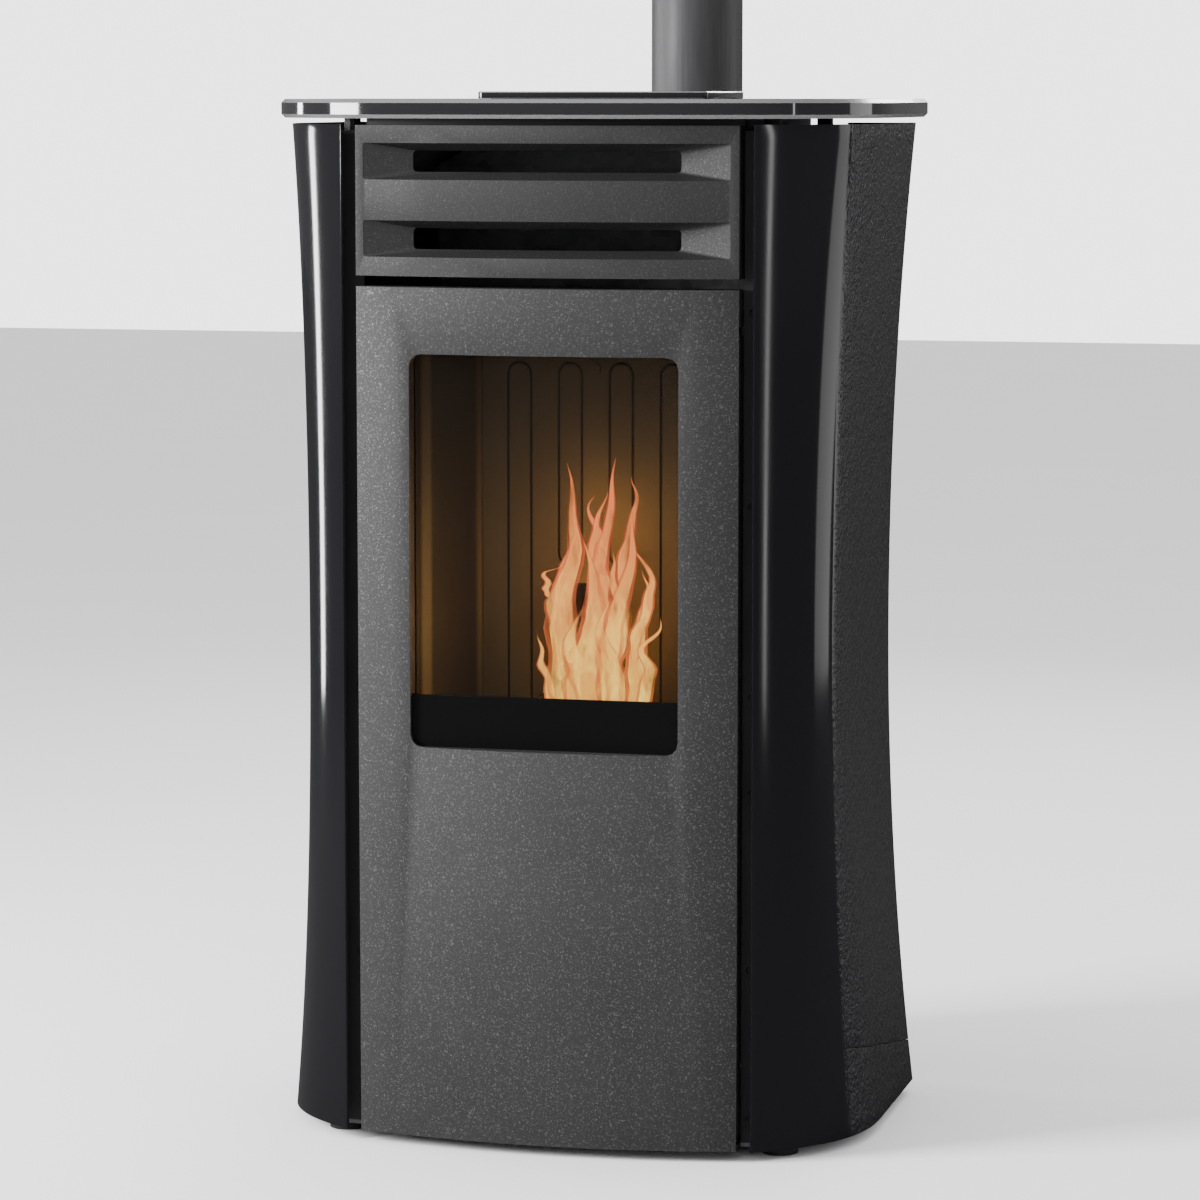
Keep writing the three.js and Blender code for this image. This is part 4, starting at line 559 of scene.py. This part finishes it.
def heal(piece):
    """Merges the vertices that lie together and turns every face outwards."""
    alone(piece)
    bpy.ops.object.mode_set(mode="EDIT")
    bpy.ops.mesh.select_all(action="SELECT")
    bpy.ops.mesh.remove_doubles(threshold=1e-6)
    bpy.ops.mesh.normals_make_consistent(inside=False)
    bpy.ops.object.mode_set(mode="OBJECT")


def soften(piece, width, angle=32, segments=2):
    """Rounded edges, and smooth shading over everything flatter than the angle."""
    modify(
        piece, "BEVEL", width=width, segments=segments, limit_method="ANGLE",
        angle_limit=math.radians(angle), use_clamp_overlap=True,
    )
    smooth(piece, angle)
    return piece


def drop(piece):
    bpy.data.objects.remove(piece, do_unlink=True)


def carve(piece, cutter, operation):
    modify(piece, "BOOLEAN", object=cutter, operation=operation, solver="EXACT")


def dress(piece, body, slot, *nodes):
    """A finished piece gets its material, its body and the nodes that it stands for."""
    piece.data.materials.clear()
    piece.data.materials.append(finish(slot))
    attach(piece, body)
    if nodes:
        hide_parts(*nodes)
    return piece


def softened_node(node, slot, width, angle=32):
    """A merged copy of a CAD node with softened edges, which then stands for it."""
    body = NODES[node]["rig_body"]
    piece = NODES[node].copy()
    piece.data = NODES[node].data.copy()
    piece.name = f"{node}_dressed"
    piece.parent = None
    for key in list(piece.keys()):
        del piece[key]
    bpy.context.scene.collection.objects.link(piece)
    alone(piece)
    bpy.ops.object.mode_set(mode="EDIT")
    bpy.ops.mesh.select_all(action="SELECT")
    bpy.ops.mesh.remove_doubles(threshold=4e-6)
    bpy.ops.mesh.dissolve_limited(angle_limit=math.radians(0.25))
    bpy.ops.object.mode_set(mode="OBJECT")
    soften(piece, width, angle)
    return dress(piece, body, slot, node)


def mirrored_copy(piece, name):
    """The same piece on the other side of the stove."""
    other = piece.copy()
    other.data = piece.data.copy()
    other.name = name
    bpy.context.scene.collection.objects.link(other)
    other.data.transform(Matrix.Scale(-1, 4, (1, 0, 0)))
    other.data.flip_normals()
    return other


def settle(piece):
    """Moves a piece drawn in the casing's own frame to its place."""
    piece.data.transform(Matrix.Translation((0, FRONT_Y, FLOOR_Z)))


def turned(name, profile, centre, steps=96):
    """A closed profile of radius and height, turned about an upright axis."""
    bpy.ops.object.select_all(action="DESELECT")
    bpy.ops.mesh.primitive_circle_add(vertices=len(profile), radius=1)
    piece = new_piece(name)
    for vertex, (radius, height) in zip(piece.data.vertices, profile):
        vertex.co = (radius, 0, height)
    modify(
        piece, "SCREW", angle=2 * math.pi, steps=steps, render_steps=steps,
        use_merge_vertices=True, merge_threshold=1e-6,
    )
    heal(piece)
    piece.data.transform(Matrix.Translation(centre))
    return piece


# ------------------------------------------------------------------ casing


def side_half(z):
    """Half the casing's width at a height: narrowest at the waist, wider towards both ends."""
    above = z > WAIST_Z
    reach = SIDE_TOP - WAIST_Z if above else WAIST_Z
    flare = (TOP_HALF if above else BASE_HALF) - WAIST_HALF
    return WAIST_HALF + flare * ((z - WAIST_Z) / reach) ** 2


def belly_point(t, half, offset=0.0):
    """A point on the side's bellied plan curve, moved outwards by an offset."""
    a = Vector((EDGE_X, 0))
    b = a + BELLY * Vector((math.cos(EDGE_ANGLE), math.sin(EDGE_ANGLE)))
    c = Vector((half, SHOULDER_Y - BELLY))
    d = Vector((half, SHOULDER_Y))
    s = 1 - t
    place = s**3 * a + 3 * s * s * t * b + 3 * s * t * t * c + t**3 * d
    along = s * s * (b - a) + 2 * s * t * (c - b) + t * t * (d - c)
    along.normalize()
    return place + offset * Vector((along.y, -along.x))


def side_point(u, z):
    """A point on the right side's outer face, from its front edge round to its rear return."""
    half = side_half(z)
    column = u * COLUMNS
    if column <= BELLY_COLUMNS:
        return belly_point(column / BELLY_COLUMNS, half)
    column -= BELLY_COLUMNS
    if column <= STRAIGHT_COLUMNS:
        return Vector((half, SHOULDER_Y + (SIDE_DEPTH - SHOULDER_Y) * column / STRAIGHT_COLUMNS))
    share = (column - STRAIGHT_COLUMNS) / RETURN_COLUMNS
    return Vector((half + (RETURN_X - half) * share, SIDE_DEPTH))


def side_sheet(name):
    """The whole right side as one folded sheet, before its skirt is parted from it."""
    bpy.ops.object.select_all(action="DESELECT")
    bpy.ops.mesh.primitive_grid_add(x_subdivisions=COLUMNS, y_subdivisions=ROWS, size=2)
    piece = new_piece(name)
    for vertex in piece.data.vertices:
        z = SIDE_TOP * (vertex.co.y + 1) / 2
        place = side_point((vertex.co.x + 1) / 2, z)
        vertex.co = (place.x, place.y, z)
    return modify(piece, "SOLIDIFY", thickness=SHEET, offset=-1, use_even_offset=True)


def skirt_block(gap):
    """The region of the skirt, drawn in by a gap."""
    beyond = 0.02
    slope = (SKIRT_REAR_Z - SKIRT_FRONT_Z) / (SIDE_DEPTH - SKIRT_FRONT_Y)
    bpy.ops.object.select_all(action="DESELECT")
    bpy.ops.mesh.primitive_cube_add(size=2)
    piece = new_piece("skirt_region")
    for vertex in piece.data.vertices:
        x = BASE_HALF + beyond if vertex.co.x > 0 else EDGE_X
        y = SIDE_DEPTH + beyond if vertex.co.y > 0 else SKIRT_FRONT_Y + gap
        top = SKIRT_FRONT_Z + slope * (y - SKIRT_FRONT_Y) - gap
        vertex.co = (x, y, top if vertex.co.z > 0 else -beyond)
    return piece


class STOVE_OT_sides(Operator):
    """Make the enamelled side panels and their skirts."""

    bl_idname = "stove.sides"
    bl_label = "Side panels"

    def execute(self, context):
        sizes = context.scene.stove_sizes
        parts = [
            ("side_panel", 0.0, "DIFFERENCE"),
            ("side_skirt", sizes.seam, "INTERSECT"),
        ]
        for part, gap, operation in parts:
            piece = side_sheet(f"{part}_right_enamel")
            region = skirt_block(gap)
            carve(piece, region, operation)
            drop(region)
            soften(piece, sizes.edge, 30)
            settle(piece)
            other = mirrored_copy(piece, f"{part}_left_enamel")
            dress(piece, "root", "enamel", f"{part}_right")
            dress(other, "root", "enamel", f"{part}_left")
        return {"FINISHED"}


def front_y(x):
    """The shallow arc of the door and the grille in plan."""
    return DOOR_BULGE * ((x / DOOR_HALF) ** 2 - 1)


def slab_outline():
    """The right half of the slab's edge, from the middle of the front to the rear corner."""
    arc_end, arc_steps = 0.180, 16
    belly_start, belly_steps = 0.20, 40
    knee_steps, corner_steps = 10, 6
    across = [arc_end * i / arc_steps for i in range(arc_steps + 1)]
    points = [Vector((x, front_y(x) - SLAB_OVERHANG)) for x in across]
    start = points[-1]
    end = belly_point(belly_start, TOP_HALF, SLAB_OVERHANG)
    leave = Vector((1, 2 * DOOR_BULGE * arc_end / DOOR_HALF**2))
    ahead = belly_point(belly_start + 0.01, TOP_HALF, SLAB_OVERHANG) - end
    gap = end - start
    reach = (gap.x * ahead.y - gap.y * ahead.x) / (leave.x * ahead.y - leave.y * ahead.x)
    knee = start + leave * reach
    for i in range(1, knee_steps):
        t = i / knee_steps
        points.append((1 - t) ** 2 * start + 2 * t * (1 - t) * knee + t * t * end)
    for i in range(belly_steps + 1):
        t = belly_start + (1 - belly_start) * i / belly_steps
        points.append(belly_point(t, TOP_HALF, SLAB_OVERHANG))
    half = TOP_HALF + SLAB_OVERHANG
    for i in range(corner_steps + 1):
        angle = math.pi / 2 * i / corner_steps
        corner = Vector((half - SLAB_CORNER, SLAB_REAR_Y - SLAB_CORNER))
        points.append(corner + SLAB_CORNER * Vector((math.cos(angle), math.sin(angle))))
    return points


def upright_plate(name, points, low, high):
    """A flat outline raised between two heights."""
    bpy.ops.object.select_all(action="DESELECT")
    bpy.ops.mesh.primitive_circle_add(vertices=len(points), radius=1, fill_type="NGON")
    piece = new_piece(name)
    for vertex, place in zip(piece.data.vertices, points):
        vertex.co = (place.x, place.y, low)
    alone(piece)
    bpy.ops.object.mode_set(mode="EDIT")
    bpy.ops.mesh.select_all(action="SELECT")
    bpy.ops.mesh.extrude_region_move(TRANSFORM_OT_translate={"value": (0, 0, high - low)})
    bpy.ops.mesh.select_all(action="SELECT")
    bpy.ops.mesh.normals_make_consistent(inside=False)
    bpy.ops.object.mode_set(mode="OBJECT")
    return piece


def upright_block(name, plan, low, high):
    """A block over two opposite corners of a plan, between two heights."""
    (left, front), (right, back) = plan
    bpy.ops.object.select_all(action="DESELECT")
    bpy.ops.mesh.primitive_cube_add(size=2)
    piece = new_piece(name)
    for vertex in piece.data.vertices:
        x = right if vertex.co.x > 0 else left
        y = back if vertex.co.y > 0 else front
        vertex.co = (x, y, high if vertex.co.z > 0 else low)
    return piece


def mouth_block():
    """The hopper's mouth, as the block that cuts it."""
    piece = upright_block("mouth_region", MOUTH, SLAB_LOW - CUT_PAST, SLAB_HIGH + CUT_PAST)
    alone(piece)
    bpy.ops.object.mode_set(mode="EDIT")
    bpy.ops.mesh.select_all(action="DESELECT")
    bpy.ops.object.mode_set(mode="OBJECT")
    for edge in piece.data.edges:
        a, b = (piece.data.vertices[i].co for i in edge.vertices)
        edge.select = abs(a.z - b.z) > 0.001
    bpy.ops.object.mode_set(mode="EDIT")
    bpy.ops.mesh.select_mode(type="EDGE")
    bpy.ops.mesh.bevel(offset=MOUTH_RADIUS, segments=6)
    bpy.ops.object.mode_set(mode="OBJECT")
    return piece


def shade_underlay():
    """A dark frame of board that closes the gap between the deck and the slab, put there as painted
    shade for the slab's shaded underside.
    """
    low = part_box("chassis_side_right")[1].z - FLOOR_Z + DECK_RISE
    rings = []
    for name, inset in (("slab_shade_underlay", 0.0), ("shade_underlay_core", SHADE_UNDERLAY_BOARD)):
        half = SHADE_UNDERLAY_HALF - inset
        front, back = SHADE_UNDERLAY_FRONT + inset, SHADE_UNDERLAY_BACK - inset
        corners = [Vector(p) for p in ((-half, front), (half, front), (half, back), (-half, back))]
        reach = CUT_PAST if inset else 0.0
        rings.append(upright_plate(name, corners, low - reach, SLAB_LOW - TOUCH_GAP + reach))
    carve(rings[0], rings[1], "DIFFERENCE")
    drop(rings[1])
    settle(rings[0])
    soften(rings[0], 0.0004)
    dress(rings[0], "root", "sheet")


def landing_block():
    """The shallow seat of the lid's seal and hinge, open at the slab's back."""
    seat = SLAB_HIGH - LANDING_DEPTH
    return upright_block("landing_region", LANDING, seat, SLAB_HIGH + CUT_PAST)


class STOVE_OT_top(Operator):
    """Make the polished slab and soften the hopper's lid."""

    bl_idname = "stove.top"
    bl_label = "Top slab and lid"

    def execute(self, context):
        right = slab_outline()
        left = [Vector((-p.x, p.y)) for p in reversed(right[1:])]
        # The dark board under the slab is painted shade.
        shade_underlay()
        slab = upright_plate("top_slab_polished", right + left, SLAB_LOW, SLAB_HIGH)
        modify(
            slab, "BEVEL", width=SLAB_CHAMFER, segments=1, limit_method="ANGLE",
            angle_limit=math.radians(60),
        )
        for region in (mouth_block(), landing_block()):
            carve(slab, region, "DIFFERENCE")
            drop(region)
        smooth(slab, 25)
        settle(slab)
        dress(slab, "root", "slab", "top_slab")
        softened_node("hopper_lid", "slab", 0.0005)
        return {"FINISHED"}


class STOVE_OT_front(Operator):
    """Soften the edges of the door, the grille and the rear cover."""

    bl_idname = "stove.front"
    bl_label = "Door, grille and rear cover"

    def execute(self, context):
        edge = context.scene.stove_sizes.edge
        softened_node("door_skin", "powder", edge, 35)
        softened_node("upper_grille", "casting", edge, 28)
        softened_node("rear_cover", "sheet", 0.0006, 30)
        return {"FINISHED"}


def pipe_profile(inner, outer, socket, low, high):
    """A pipe's wall with a wider socket at its top."""
    lip = SOCKET_LIP
    neck, step = high - SOCKET_NECK, high - SOCKET_STEP
    return [
        (inner, low), (outer, low), (outer, neck), (socket, step), (socket, high - lip),
        (socket - lip / 2, high), (socket - outer + inner + lip / 2, high),
        (socket - outer + inner, high - lip), (socket - outer + inner, step), (inner, neck),
    ]


class STOVE_OT_flue(Operator):
    """Make the round flue pipe and soften its tee and cap."""

    bl_idname = "stove.flue"
    bl_label = "Flue pipe"

    def execute(self, context):
        low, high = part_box("flue_pipe")
        centre = ((low.x + high.x) / 2, (low.y + high.y) / 2, 0)
        socket = (high.x - low.x) / 2
        outer = socket - SOCKET_FLARE
        profile = pipe_profile(outer - PIPE_WALL, outer, socket, low.z, high.z)
        pipe = turned("flue_pipe_turned", profile, centre)
        smooth(pipe, 28)
        dress(pipe, "root", "flue", "flue_pipe")
        softened_node("flue_tee", "flue", 0.0004, 28)
        softened_node("tee_cap", "flue", 0.0006, 28)
        softened_node("air_intake_pipe", "zinc", 0.0004, 28)
        for place in ("front_left", "front_right", "rear_left", "rear_right"):
            softened_node(f"foot_{place}", "plastic", 0.0006, 28)
        return {"FINISHED"}


# ------------------------------------------------------------------ screws

# The screws down the gap beside the door, and those down the rear cover's flange.
GAP_SCREW_X = 0.214
GAP_SCREW_HEIGHTS = (0.030, 0.189, 0.377, 0.478, 0.679, 0.880)
COVER_SCREW_X = 0.233
COVER_SCREWS = 5
COVER_MARGIN = 0.06

# The head's height, and each bar of its cross, as shares of its radius.
SCREW_DOME = 0.62
SCREW_RECESS = (1.05, 0.24, 0.7)


def screw_head(name, place, facing, radius):
    """A pan head with a cross recess, its back on the surface that it holds."""
    bpy.ops.object.select_all(action="DESELECT")
    bpy.ops.mesh.primitive_uv_sphere_add(segments=20, ring_count=10, radius=radius)
    piece = new_piece(name)
    for vertex in piece.data.vertices:
        vertex.co.z = max(0.0, vertex.co.z) * SCREW_DOME
    heal(piece)
    lift = Matrix.Translation((0, 0, radius * SCREW_DOME))
    for turn in (0, math.pi / 2):
        bpy.ops.mesh.primitive_cube_add(size=1)
        slot = new_piece("recess")
        slot.data.transform(Matrix.Diagonal((*(radius * share for share in SCREW_RECESS), 1)))
        slot.data.transform(Matrix.Rotation(turn, 4, "Z") @ lift)
        carve(piece, slot, "DIFFERENCE")
        drop(slot)
    swing = Vector((0, 0, 1)).rotation_difference(Vector(facing))
    piece.data.transform(swing.to_matrix().to_4x4())
    piece.data.transform(Matrix.Translation(place))
    return piece


class STOVE_OT_screws(Operator):
    """Add the screws in the gap beside the door and round the rear cover."""

    bl_idname = "stove.screws"
    bl_label = "Screws"

    def execute(self, context):
        radius = context.scene.stove_sizes.screw
        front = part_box("chassis_side_right")[0].y
        low, high = (corner.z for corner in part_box("rear_cover"))
        model = screw_head("screw_model", (0, 0, 0), (0, -1, 0), radius)
        places = []
        for side in (-1, 1):
            for height in GAP_SCREW_HEIGHTS:
                places.append((side * GAP_SCREW_X, front, FLOOR_Z + height, 0))
            for step in range(COVER_SCREWS):
                rise = step * (high - low - 2 * COVER_MARGIN) / (COVER_SCREWS - 1)
                height = low + COVER_MARGIN + rise
                places.append((side * COVER_SCREW_X, FRONT_Y + SIDE_DEPTH, height, math.pi))
        for number, (x, y, z, turn) in enumerate(places):
            screw = model.copy()
            screw.data = model.data.copy()
            screw.name = f"screw_{number:02d}"
            bpy.context.scene.collection.objects.link(screw)
            screw.data.transform(Matrix.Translation((x, y, z)) @ Matrix.Rotation(turn, 4, "Z"))
            smooth(screw, 35)
            dress(screw, "root", "sheet")
        drop(model)
        return {"FINISHED"}


# ------------------------------------------------------------------ fire

FIRE_Y = 0.150
POT_TOP = 0.455

# Where the flame's colours start over the casing's underside, and how far they reach up.
FLAME_FOOT = 0.44
FLAME_FADE = 0.32

# The ember bed's height over the underside, half its width and depth, its rise and its lumps.
EMBER_FLOOR = 0.3965
EMBER_WIDE, EMBER_DEEP, EMBER_RISE, EMBER_LUMP = 0.042, 0.036, 0.022, 0.004

# Each warm light's name, place, power and radius.
FIRE_LIGHTS = [
    ("fire_glow_low", (0.012, FIRE_Y - 0.010, 0.530), 1.9, 0.030),
    ("fire_glow_high", (0.020, FIRE_Y, 0.640), 0.8, 0.040),
]

# Each tongue's foot and tip across the stove, its tip's share of the flame's height,
# its half width, its sway, its place in depth and the share of the height where it starts.
TONGUES = [
    (-0.022, -0.010, 0.98, 0.019, -0.026, 0.000, -0.08),
    (0.010, 0.032, 1.00, 0.017, 0.014, 0.012, -0.08),
    (0.034, 0.052, 0.78, 0.017, 0.016, -0.008, -0.08),
    (0.054, 0.071, 0.54, 0.014, -0.012, 0.008, -0.08),
    (0.066, 0.084, 0.35, 0.010, 0.010, -0.012, -0.08),
    (-0.036, -0.050, 0.26, 0.007, -0.008, 0.006, -0.06),
    (0.014, 0.010, 0.66, 0.021, 0.018, -0.014, -0.08),
    (-0.012, -0.034, 0.48, 0.012, 0.012, 0.016, -0.06),
    (0.040, 0.058, 0.92, 0.008, -0.012, 0.016, 0.44),
    (-0.036, -0.032, 0.56, 0.005, 0.004, -0.010, 0.42),
    (0.026, 0.018, 0.86, 0.011, -0.016, -0.002, 0.30),
    (0.044, 0.030, 0.42, 0.014, 0.010, -0.020, -0.06),
    (-0.030, -0.020, 0.72, 0.012, 0.022, 0.014, 0.06),
    (0.004, 0.020, 0.84, 0.013, -0.024, 0.004, 0.22),
    (0.060, 0.066, 0.66, 0.009, 0.018, 0.000, 0.16),
    (-0.006, 0.002, 0.38, 0.018, 0.016, -0.022, -0.08),
    (0.024, 0.040, 0.60, 0.015, -0.020, 0.020, 0.02),
]


def tongue(name, shape, height, seed, fullness):
    """One closed flame tongue, round at its foot, swaying and drawn to a point."""
    foot, tip, top, half, sway, depth, start = shape
    bpy.ops.object.select_all(action="DESELECT")
    bpy.ops.mesh.primitive_uv_sphere_add(segments=18, ring_count=30, radius=1)
    piece = new_piece(name)
    for vertex in piece.data.vertices:
        t = (vertex.co.z + 1) / 2
        angle = math.atan2(vertex.co.y, vertex.co.x)
        body = math.sin(math.pi * min(1.0, t) ** 0.62) ** 0.8 * (1 - t) ** 0.30
        ripple = noise.noise(Vector((math.cos(angle), math.sin(angle), t * 7 + seed))) * 0.5
        radius = half * fullness * body * (1 + ripple)
        wave = math.sin(t * math.pi * 1.7 + seed)
        curl = noise.noise(Vector((seed, t * 4.2, 0.5))) * 0.020 * t
        x = foot + (tip - foot) * t + sway * wave * t * (1.25 - t) + curl
        y = FIRE_Y + depth + 0.006 * math.sin(t * 5 + seed)
        z = POT_TOP + height * (start + (top - start) * t)
        vertex.co = (x + radius * math.cos(angle), y + radius * 0.8 * math.sin(angle), z)
    alone(piece)
    bpy.ops.object.shade_smooth()
    settle(piece)
    return piece


class STOVE_OT_fire(Operator):
    """Light the fire: flame tongues over a bed of embers, and the warm light that they give."""

    bl_idname = "stove.fire"
    bl_label = "Fire"

    def execute(self, context):
        height = context.scene.stove_sizes.flame
        shells = [
            ("edge", 1.0, flame_finish(
                "flame_edge", (1.0, 0.26, 0.04), (1.0, 0.17, 0.06), (0.80, 0.07, 0.05), 1.1, 0.60)),
            ("core", 0.68, flame_finish(
                "flame_core", (1.0, 0.66, 0.10), (1.0, 0.52, 0.09), (1.0, 0.28, 0.07), 2.1, 0.95)),
        ]
        for number, shape in enumerate(TONGUES):
            for shell, fullness, material in shells:
                piece = tongue(f"flame_{shell}_{number:02d}", shape, height, number * 1.7, fullness)
                piece.data.materials.clear()
                piece.data.materials.append(material)
                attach(piece, "burn_pot")
        embers()
        for glow in FIRE_LIGHTS:
            warm_light(*glow)
        return {"FINISHED"}


def embers():
    """A lumpy bed of glowing pellets on the burn pot's floor."""
    bpy.ops.object.select_all(action="DESELECT")
    bpy.ops.mesh.primitive_ico_sphere_add(subdivisions=5, radius=1)
    piece = new_piece("ember_bed")
    for vertex in piece.data.vertices:
        lump = noise.noise(vertex.co * 5.0) * EMBER_LUMP
        x, y, z = vertex.co
        height = EMBER_FLOOR + max(0.0, z) * EMBER_RISE + max(0.0, lump)
        vertex.co = (x * EMBER_WIDE, FIRE_Y + y * EMBER_DEEP, height)
    alone(piece)
    bpy.ops.object.shade_smooth()
    settle(piece)
    piece.data.materials.clear()
    piece.data.materials.append(ember_finish())
    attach(piece, "burn_pot")


def warm_light(name, place, power, radius):
    light = bpy.data.lights.new(name, "POINT")
    light.energy = power
    light.color = (1.0, 0.58, 0.20)
    light.shadow_soft_size = radius
    lamp = bpy.data.objects.new(name, light)
    lamp.location = Vector(place) + Vector((0, FRONT_Y, FLOOR_Z))
    bpy.context.scene.collection.objects.link(lamp)


# ------------------------------------------------------------------ finishes of the frame


class STOVE_OT_finishes(Operator):
    """Give every CAD node the finish of its slot."""

    bl_idname = "stove.finishes"
    bl_label = "Finishes"

    def execute(self, context):
        MADE.update(all_finishes(context.scene.stove_sizes, context.scene.stove_colours))
        for part in frame["record"]["subparts"]:
            mesh = NODES[part["node"]].data
            mesh.materials.clear()
            own = part["node"] if part["node"] in MADE else part["material_slot"]
            mesh.materials.append(finish(own))
        return {"FINISHED"}


# ------------------------------------------------------------------ stage

LIGHT_SPREAD = math.radians(120)

# Each soft box's name, place, what it points at, width, height and power.
SOFT_BOXES = [
    ("key_light", (-3.4, -2.4, 2.0), (0, -0.1, 0.7), 1.3, 2.2, 230),
    ("left_strip", (-2.74, 0.55, 0.78), (-0.26, -0.2, 0.85), 0.26, 1.30, 14),
    ("right_fill", (3.0, 1.7, 1.3), (0.3, 0.05, 0.6), 1.6, 2.6, 10),
    ("right_edge", (2.9, -1.7, 1.2), (0.25, -0.25, 0.6), 0.10, 2.4, 2.5),
    ("rear_fill", (0.4, 3.8, 2.6), (0, 0.2, 0.7), 2.2, 2.0, 35),
]

# The white world's strength as it lights the stage, in the gloss and behind it.
WORLD_LIGHT, WORLD_GLOSS, WORLD_SHOWN = 1.30, 0.15, 3.2


def soft_box(name, place, target, width, height, power):
    light = bpy.data.lights.new(name, "AREA")
    light.shape = "RECTANGLE"
    light.size, light.size_y = width, height
    light.spread = LIGHT_SPREAD
    light.energy = power
    lamp = bpy.data.objects.new(name, light)
    lamp.location = place
    lamp.rotation_euler = (Vector(target) - Vector(place)).to_track_quat("-Z", "Y").to_euler()
    lamp.visible_camera = False
    bpy.context.scene.collection.objects.link(lamp)


def studio_world():
    """A white backdrop, brightest to the camera and shown only faintly in the gloss."""
    world = bpy.data.worlds.new("studio")
    bpy.context.scene.world = world
    world.use_nodes = True
    tree = world.node_tree
    tree.nodes.clear()
    output = tree.nodes.new("ShaderNodeOutputWorld")
    lighting = tree.nodes.new("ShaderNodeBackground")
    gloss = tree.nodes.new("ShaderNodeBackground")
    path = tree.nodes.new("ShaderNodeLightPath")
    mix = tree.nodes.new("ShaderNodeMixShader")
    for background, strength in ((lighting, WORLD_LIGHT), (gloss, WORLD_GLOSS)):
        background.inputs["Color"].default_value = (1, 1, 1, 1)
        background.inputs["Strength"].default_value = strength
    tree.links.new(path.outputs["Is Glossy Ray"], mix.inputs[0])
    tree.links.new(lighting.outputs[0], mix.inputs[1])
    tree.links.new(gloss.outputs[0], mix.inputs[2])
    backdrop = tree.nodes.new("ShaderNodeBackground")
    backdrop.inputs["Color"].default_value = (1, 1, 1, 1)
    backdrop.inputs["Strength"].default_value = WORLD_SHOWN
    shown = tree.nodes.new("ShaderNodeMixShader")
    tree.links.new(path.outputs["Is Camera Ray"], shown.inputs[0])
    tree.links.new(mix.outputs[0], shown.inputs[1])
    tree.links.new(backdrop.outputs[0], shown.inputs[2])
    tree.links.new(shown.outputs[0], output.inputs["Surface"])


def dim_in_gloss(paint):
    """The floor shows only faintly in the enamel, as in a studio with black cloths."""
    tree = paint.tree
    path = tree.nodes.new("ShaderNodeLightPath")
    cloth = tree.nodes.new("ShaderNodeBsdfDiffuse")
    cloth.inputs["Color"].default_value = (0.05, 0.05, 0.05, 1)
    mix = tree.nodes.new("ShaderNodeMixShader")
    output = next(node for node in tree.nodes if node.type == "OUTPUT_MATERIAL")
    tree.links.new(path.outputs["Is Glossy Ray"], mix.inputs[0])
    tree.links.new(paint.shader.outputs[0], mix.inputs[1])
    tree.links.new(cloth.outputs[0], mix.inputs[2])
    tree.links.new(mix.outputs[0], output.inputs["Surface"])


class STOVE_OT_stage(Operator):
    """Set the floor, the studio lights and the camera."""

    bl_idname = "stove.stage"
    bl_label = "Stage"

    def execute(self, context):
        bpy.ops.object.select_all(action="DESELECT")
        bpy.ops.mesh.primitive_plane_add(size=30)
        floor = new_piece("studio_floor")
        paint = Finish("pale_floor", Roughness=0.8)
        tone = paint.blend(paint.grain(3, 2), (0.93, 0.93, 0.93), (0.96, 0.96, 0.96))
        paint.feed("Base Color", tone)
        dim_in_gloss(paint)
        floor.data.materials.append(paint.material)
        studio_world()
        for box in SOFT_BOXES:
            soft_box(*box)

        camera = bpy.data.objects.new("camera", bpy.data.cameras.new("camera"))
        camera.data.lens = CAMERA_LENS
        camera.data.sensor_width = SENSOR
        camera.location = CAMERA_PLACE
        camera.rotation_euler = (math.pi / 2 - CAMERA_PITCH, 0, CAMERA_HEADING)
        bpy.context.scene.collection.objects.link(camera)
        context.scene.camera = camera
        return {"FINISHED"}


# ------------------------------------------------------------------ add-on

STEPS = ("stage", "finishes", "sides", "top", "front", "flue", "screws", "fire")


class STOVE_PT_panel(Panel):
    """The stove's settings and steps."""

    bl_label = "Pellet stove"
    bl_idname = "STOVE_PT_panel"
    bl_space_type = "VIEW_3D"
    bl_region_type = "UI"
    bl_category = "Stove"

    def draw(self, context):
        for group in (context.scene.stove_sizes, context.scene.stove_colours):
            for key in group.__annotations__:
                self.layout.prop(group, key)
        for step in STEPS:
            self.layout.operator(f"stove.{step}")


CLASSES = (
    StoveSizes,
    StoveColours,
    STOVE_OT_stage,
    STOVE_OT_finishes,
    STOVE_OT_sides,
    STOVE_OT_top,
    STOVE_OT_front,
    STOVE_OT_flue,
    STOVE_OT_screws,
    STOVE_OT_fire,
    STOVE_PT_panel,
)


def register():
    for cls in CLASSES:
        bpy.utils.register_class(cls)
    bpy.types.Scene.stove_sizes = PointerProperty(type=StoveSizes)
    bpy.types.Scene.stove_colours = PointerProperty(type=StoveColours)


def unregister():
    del bpy.types.Scene.stove_colours
    del bpy.types.Scene.stove_sizes
    for cls in reversed(CLASSES):
        bpy.utils.unregister_class(cls)


def main():
    register()
    for step in STEPS:
        getattr(bpy.ops.stove, step)()
    bpy.ops.object.select_all(action="DESELECT")


if __name__ == "__main__":
    main()
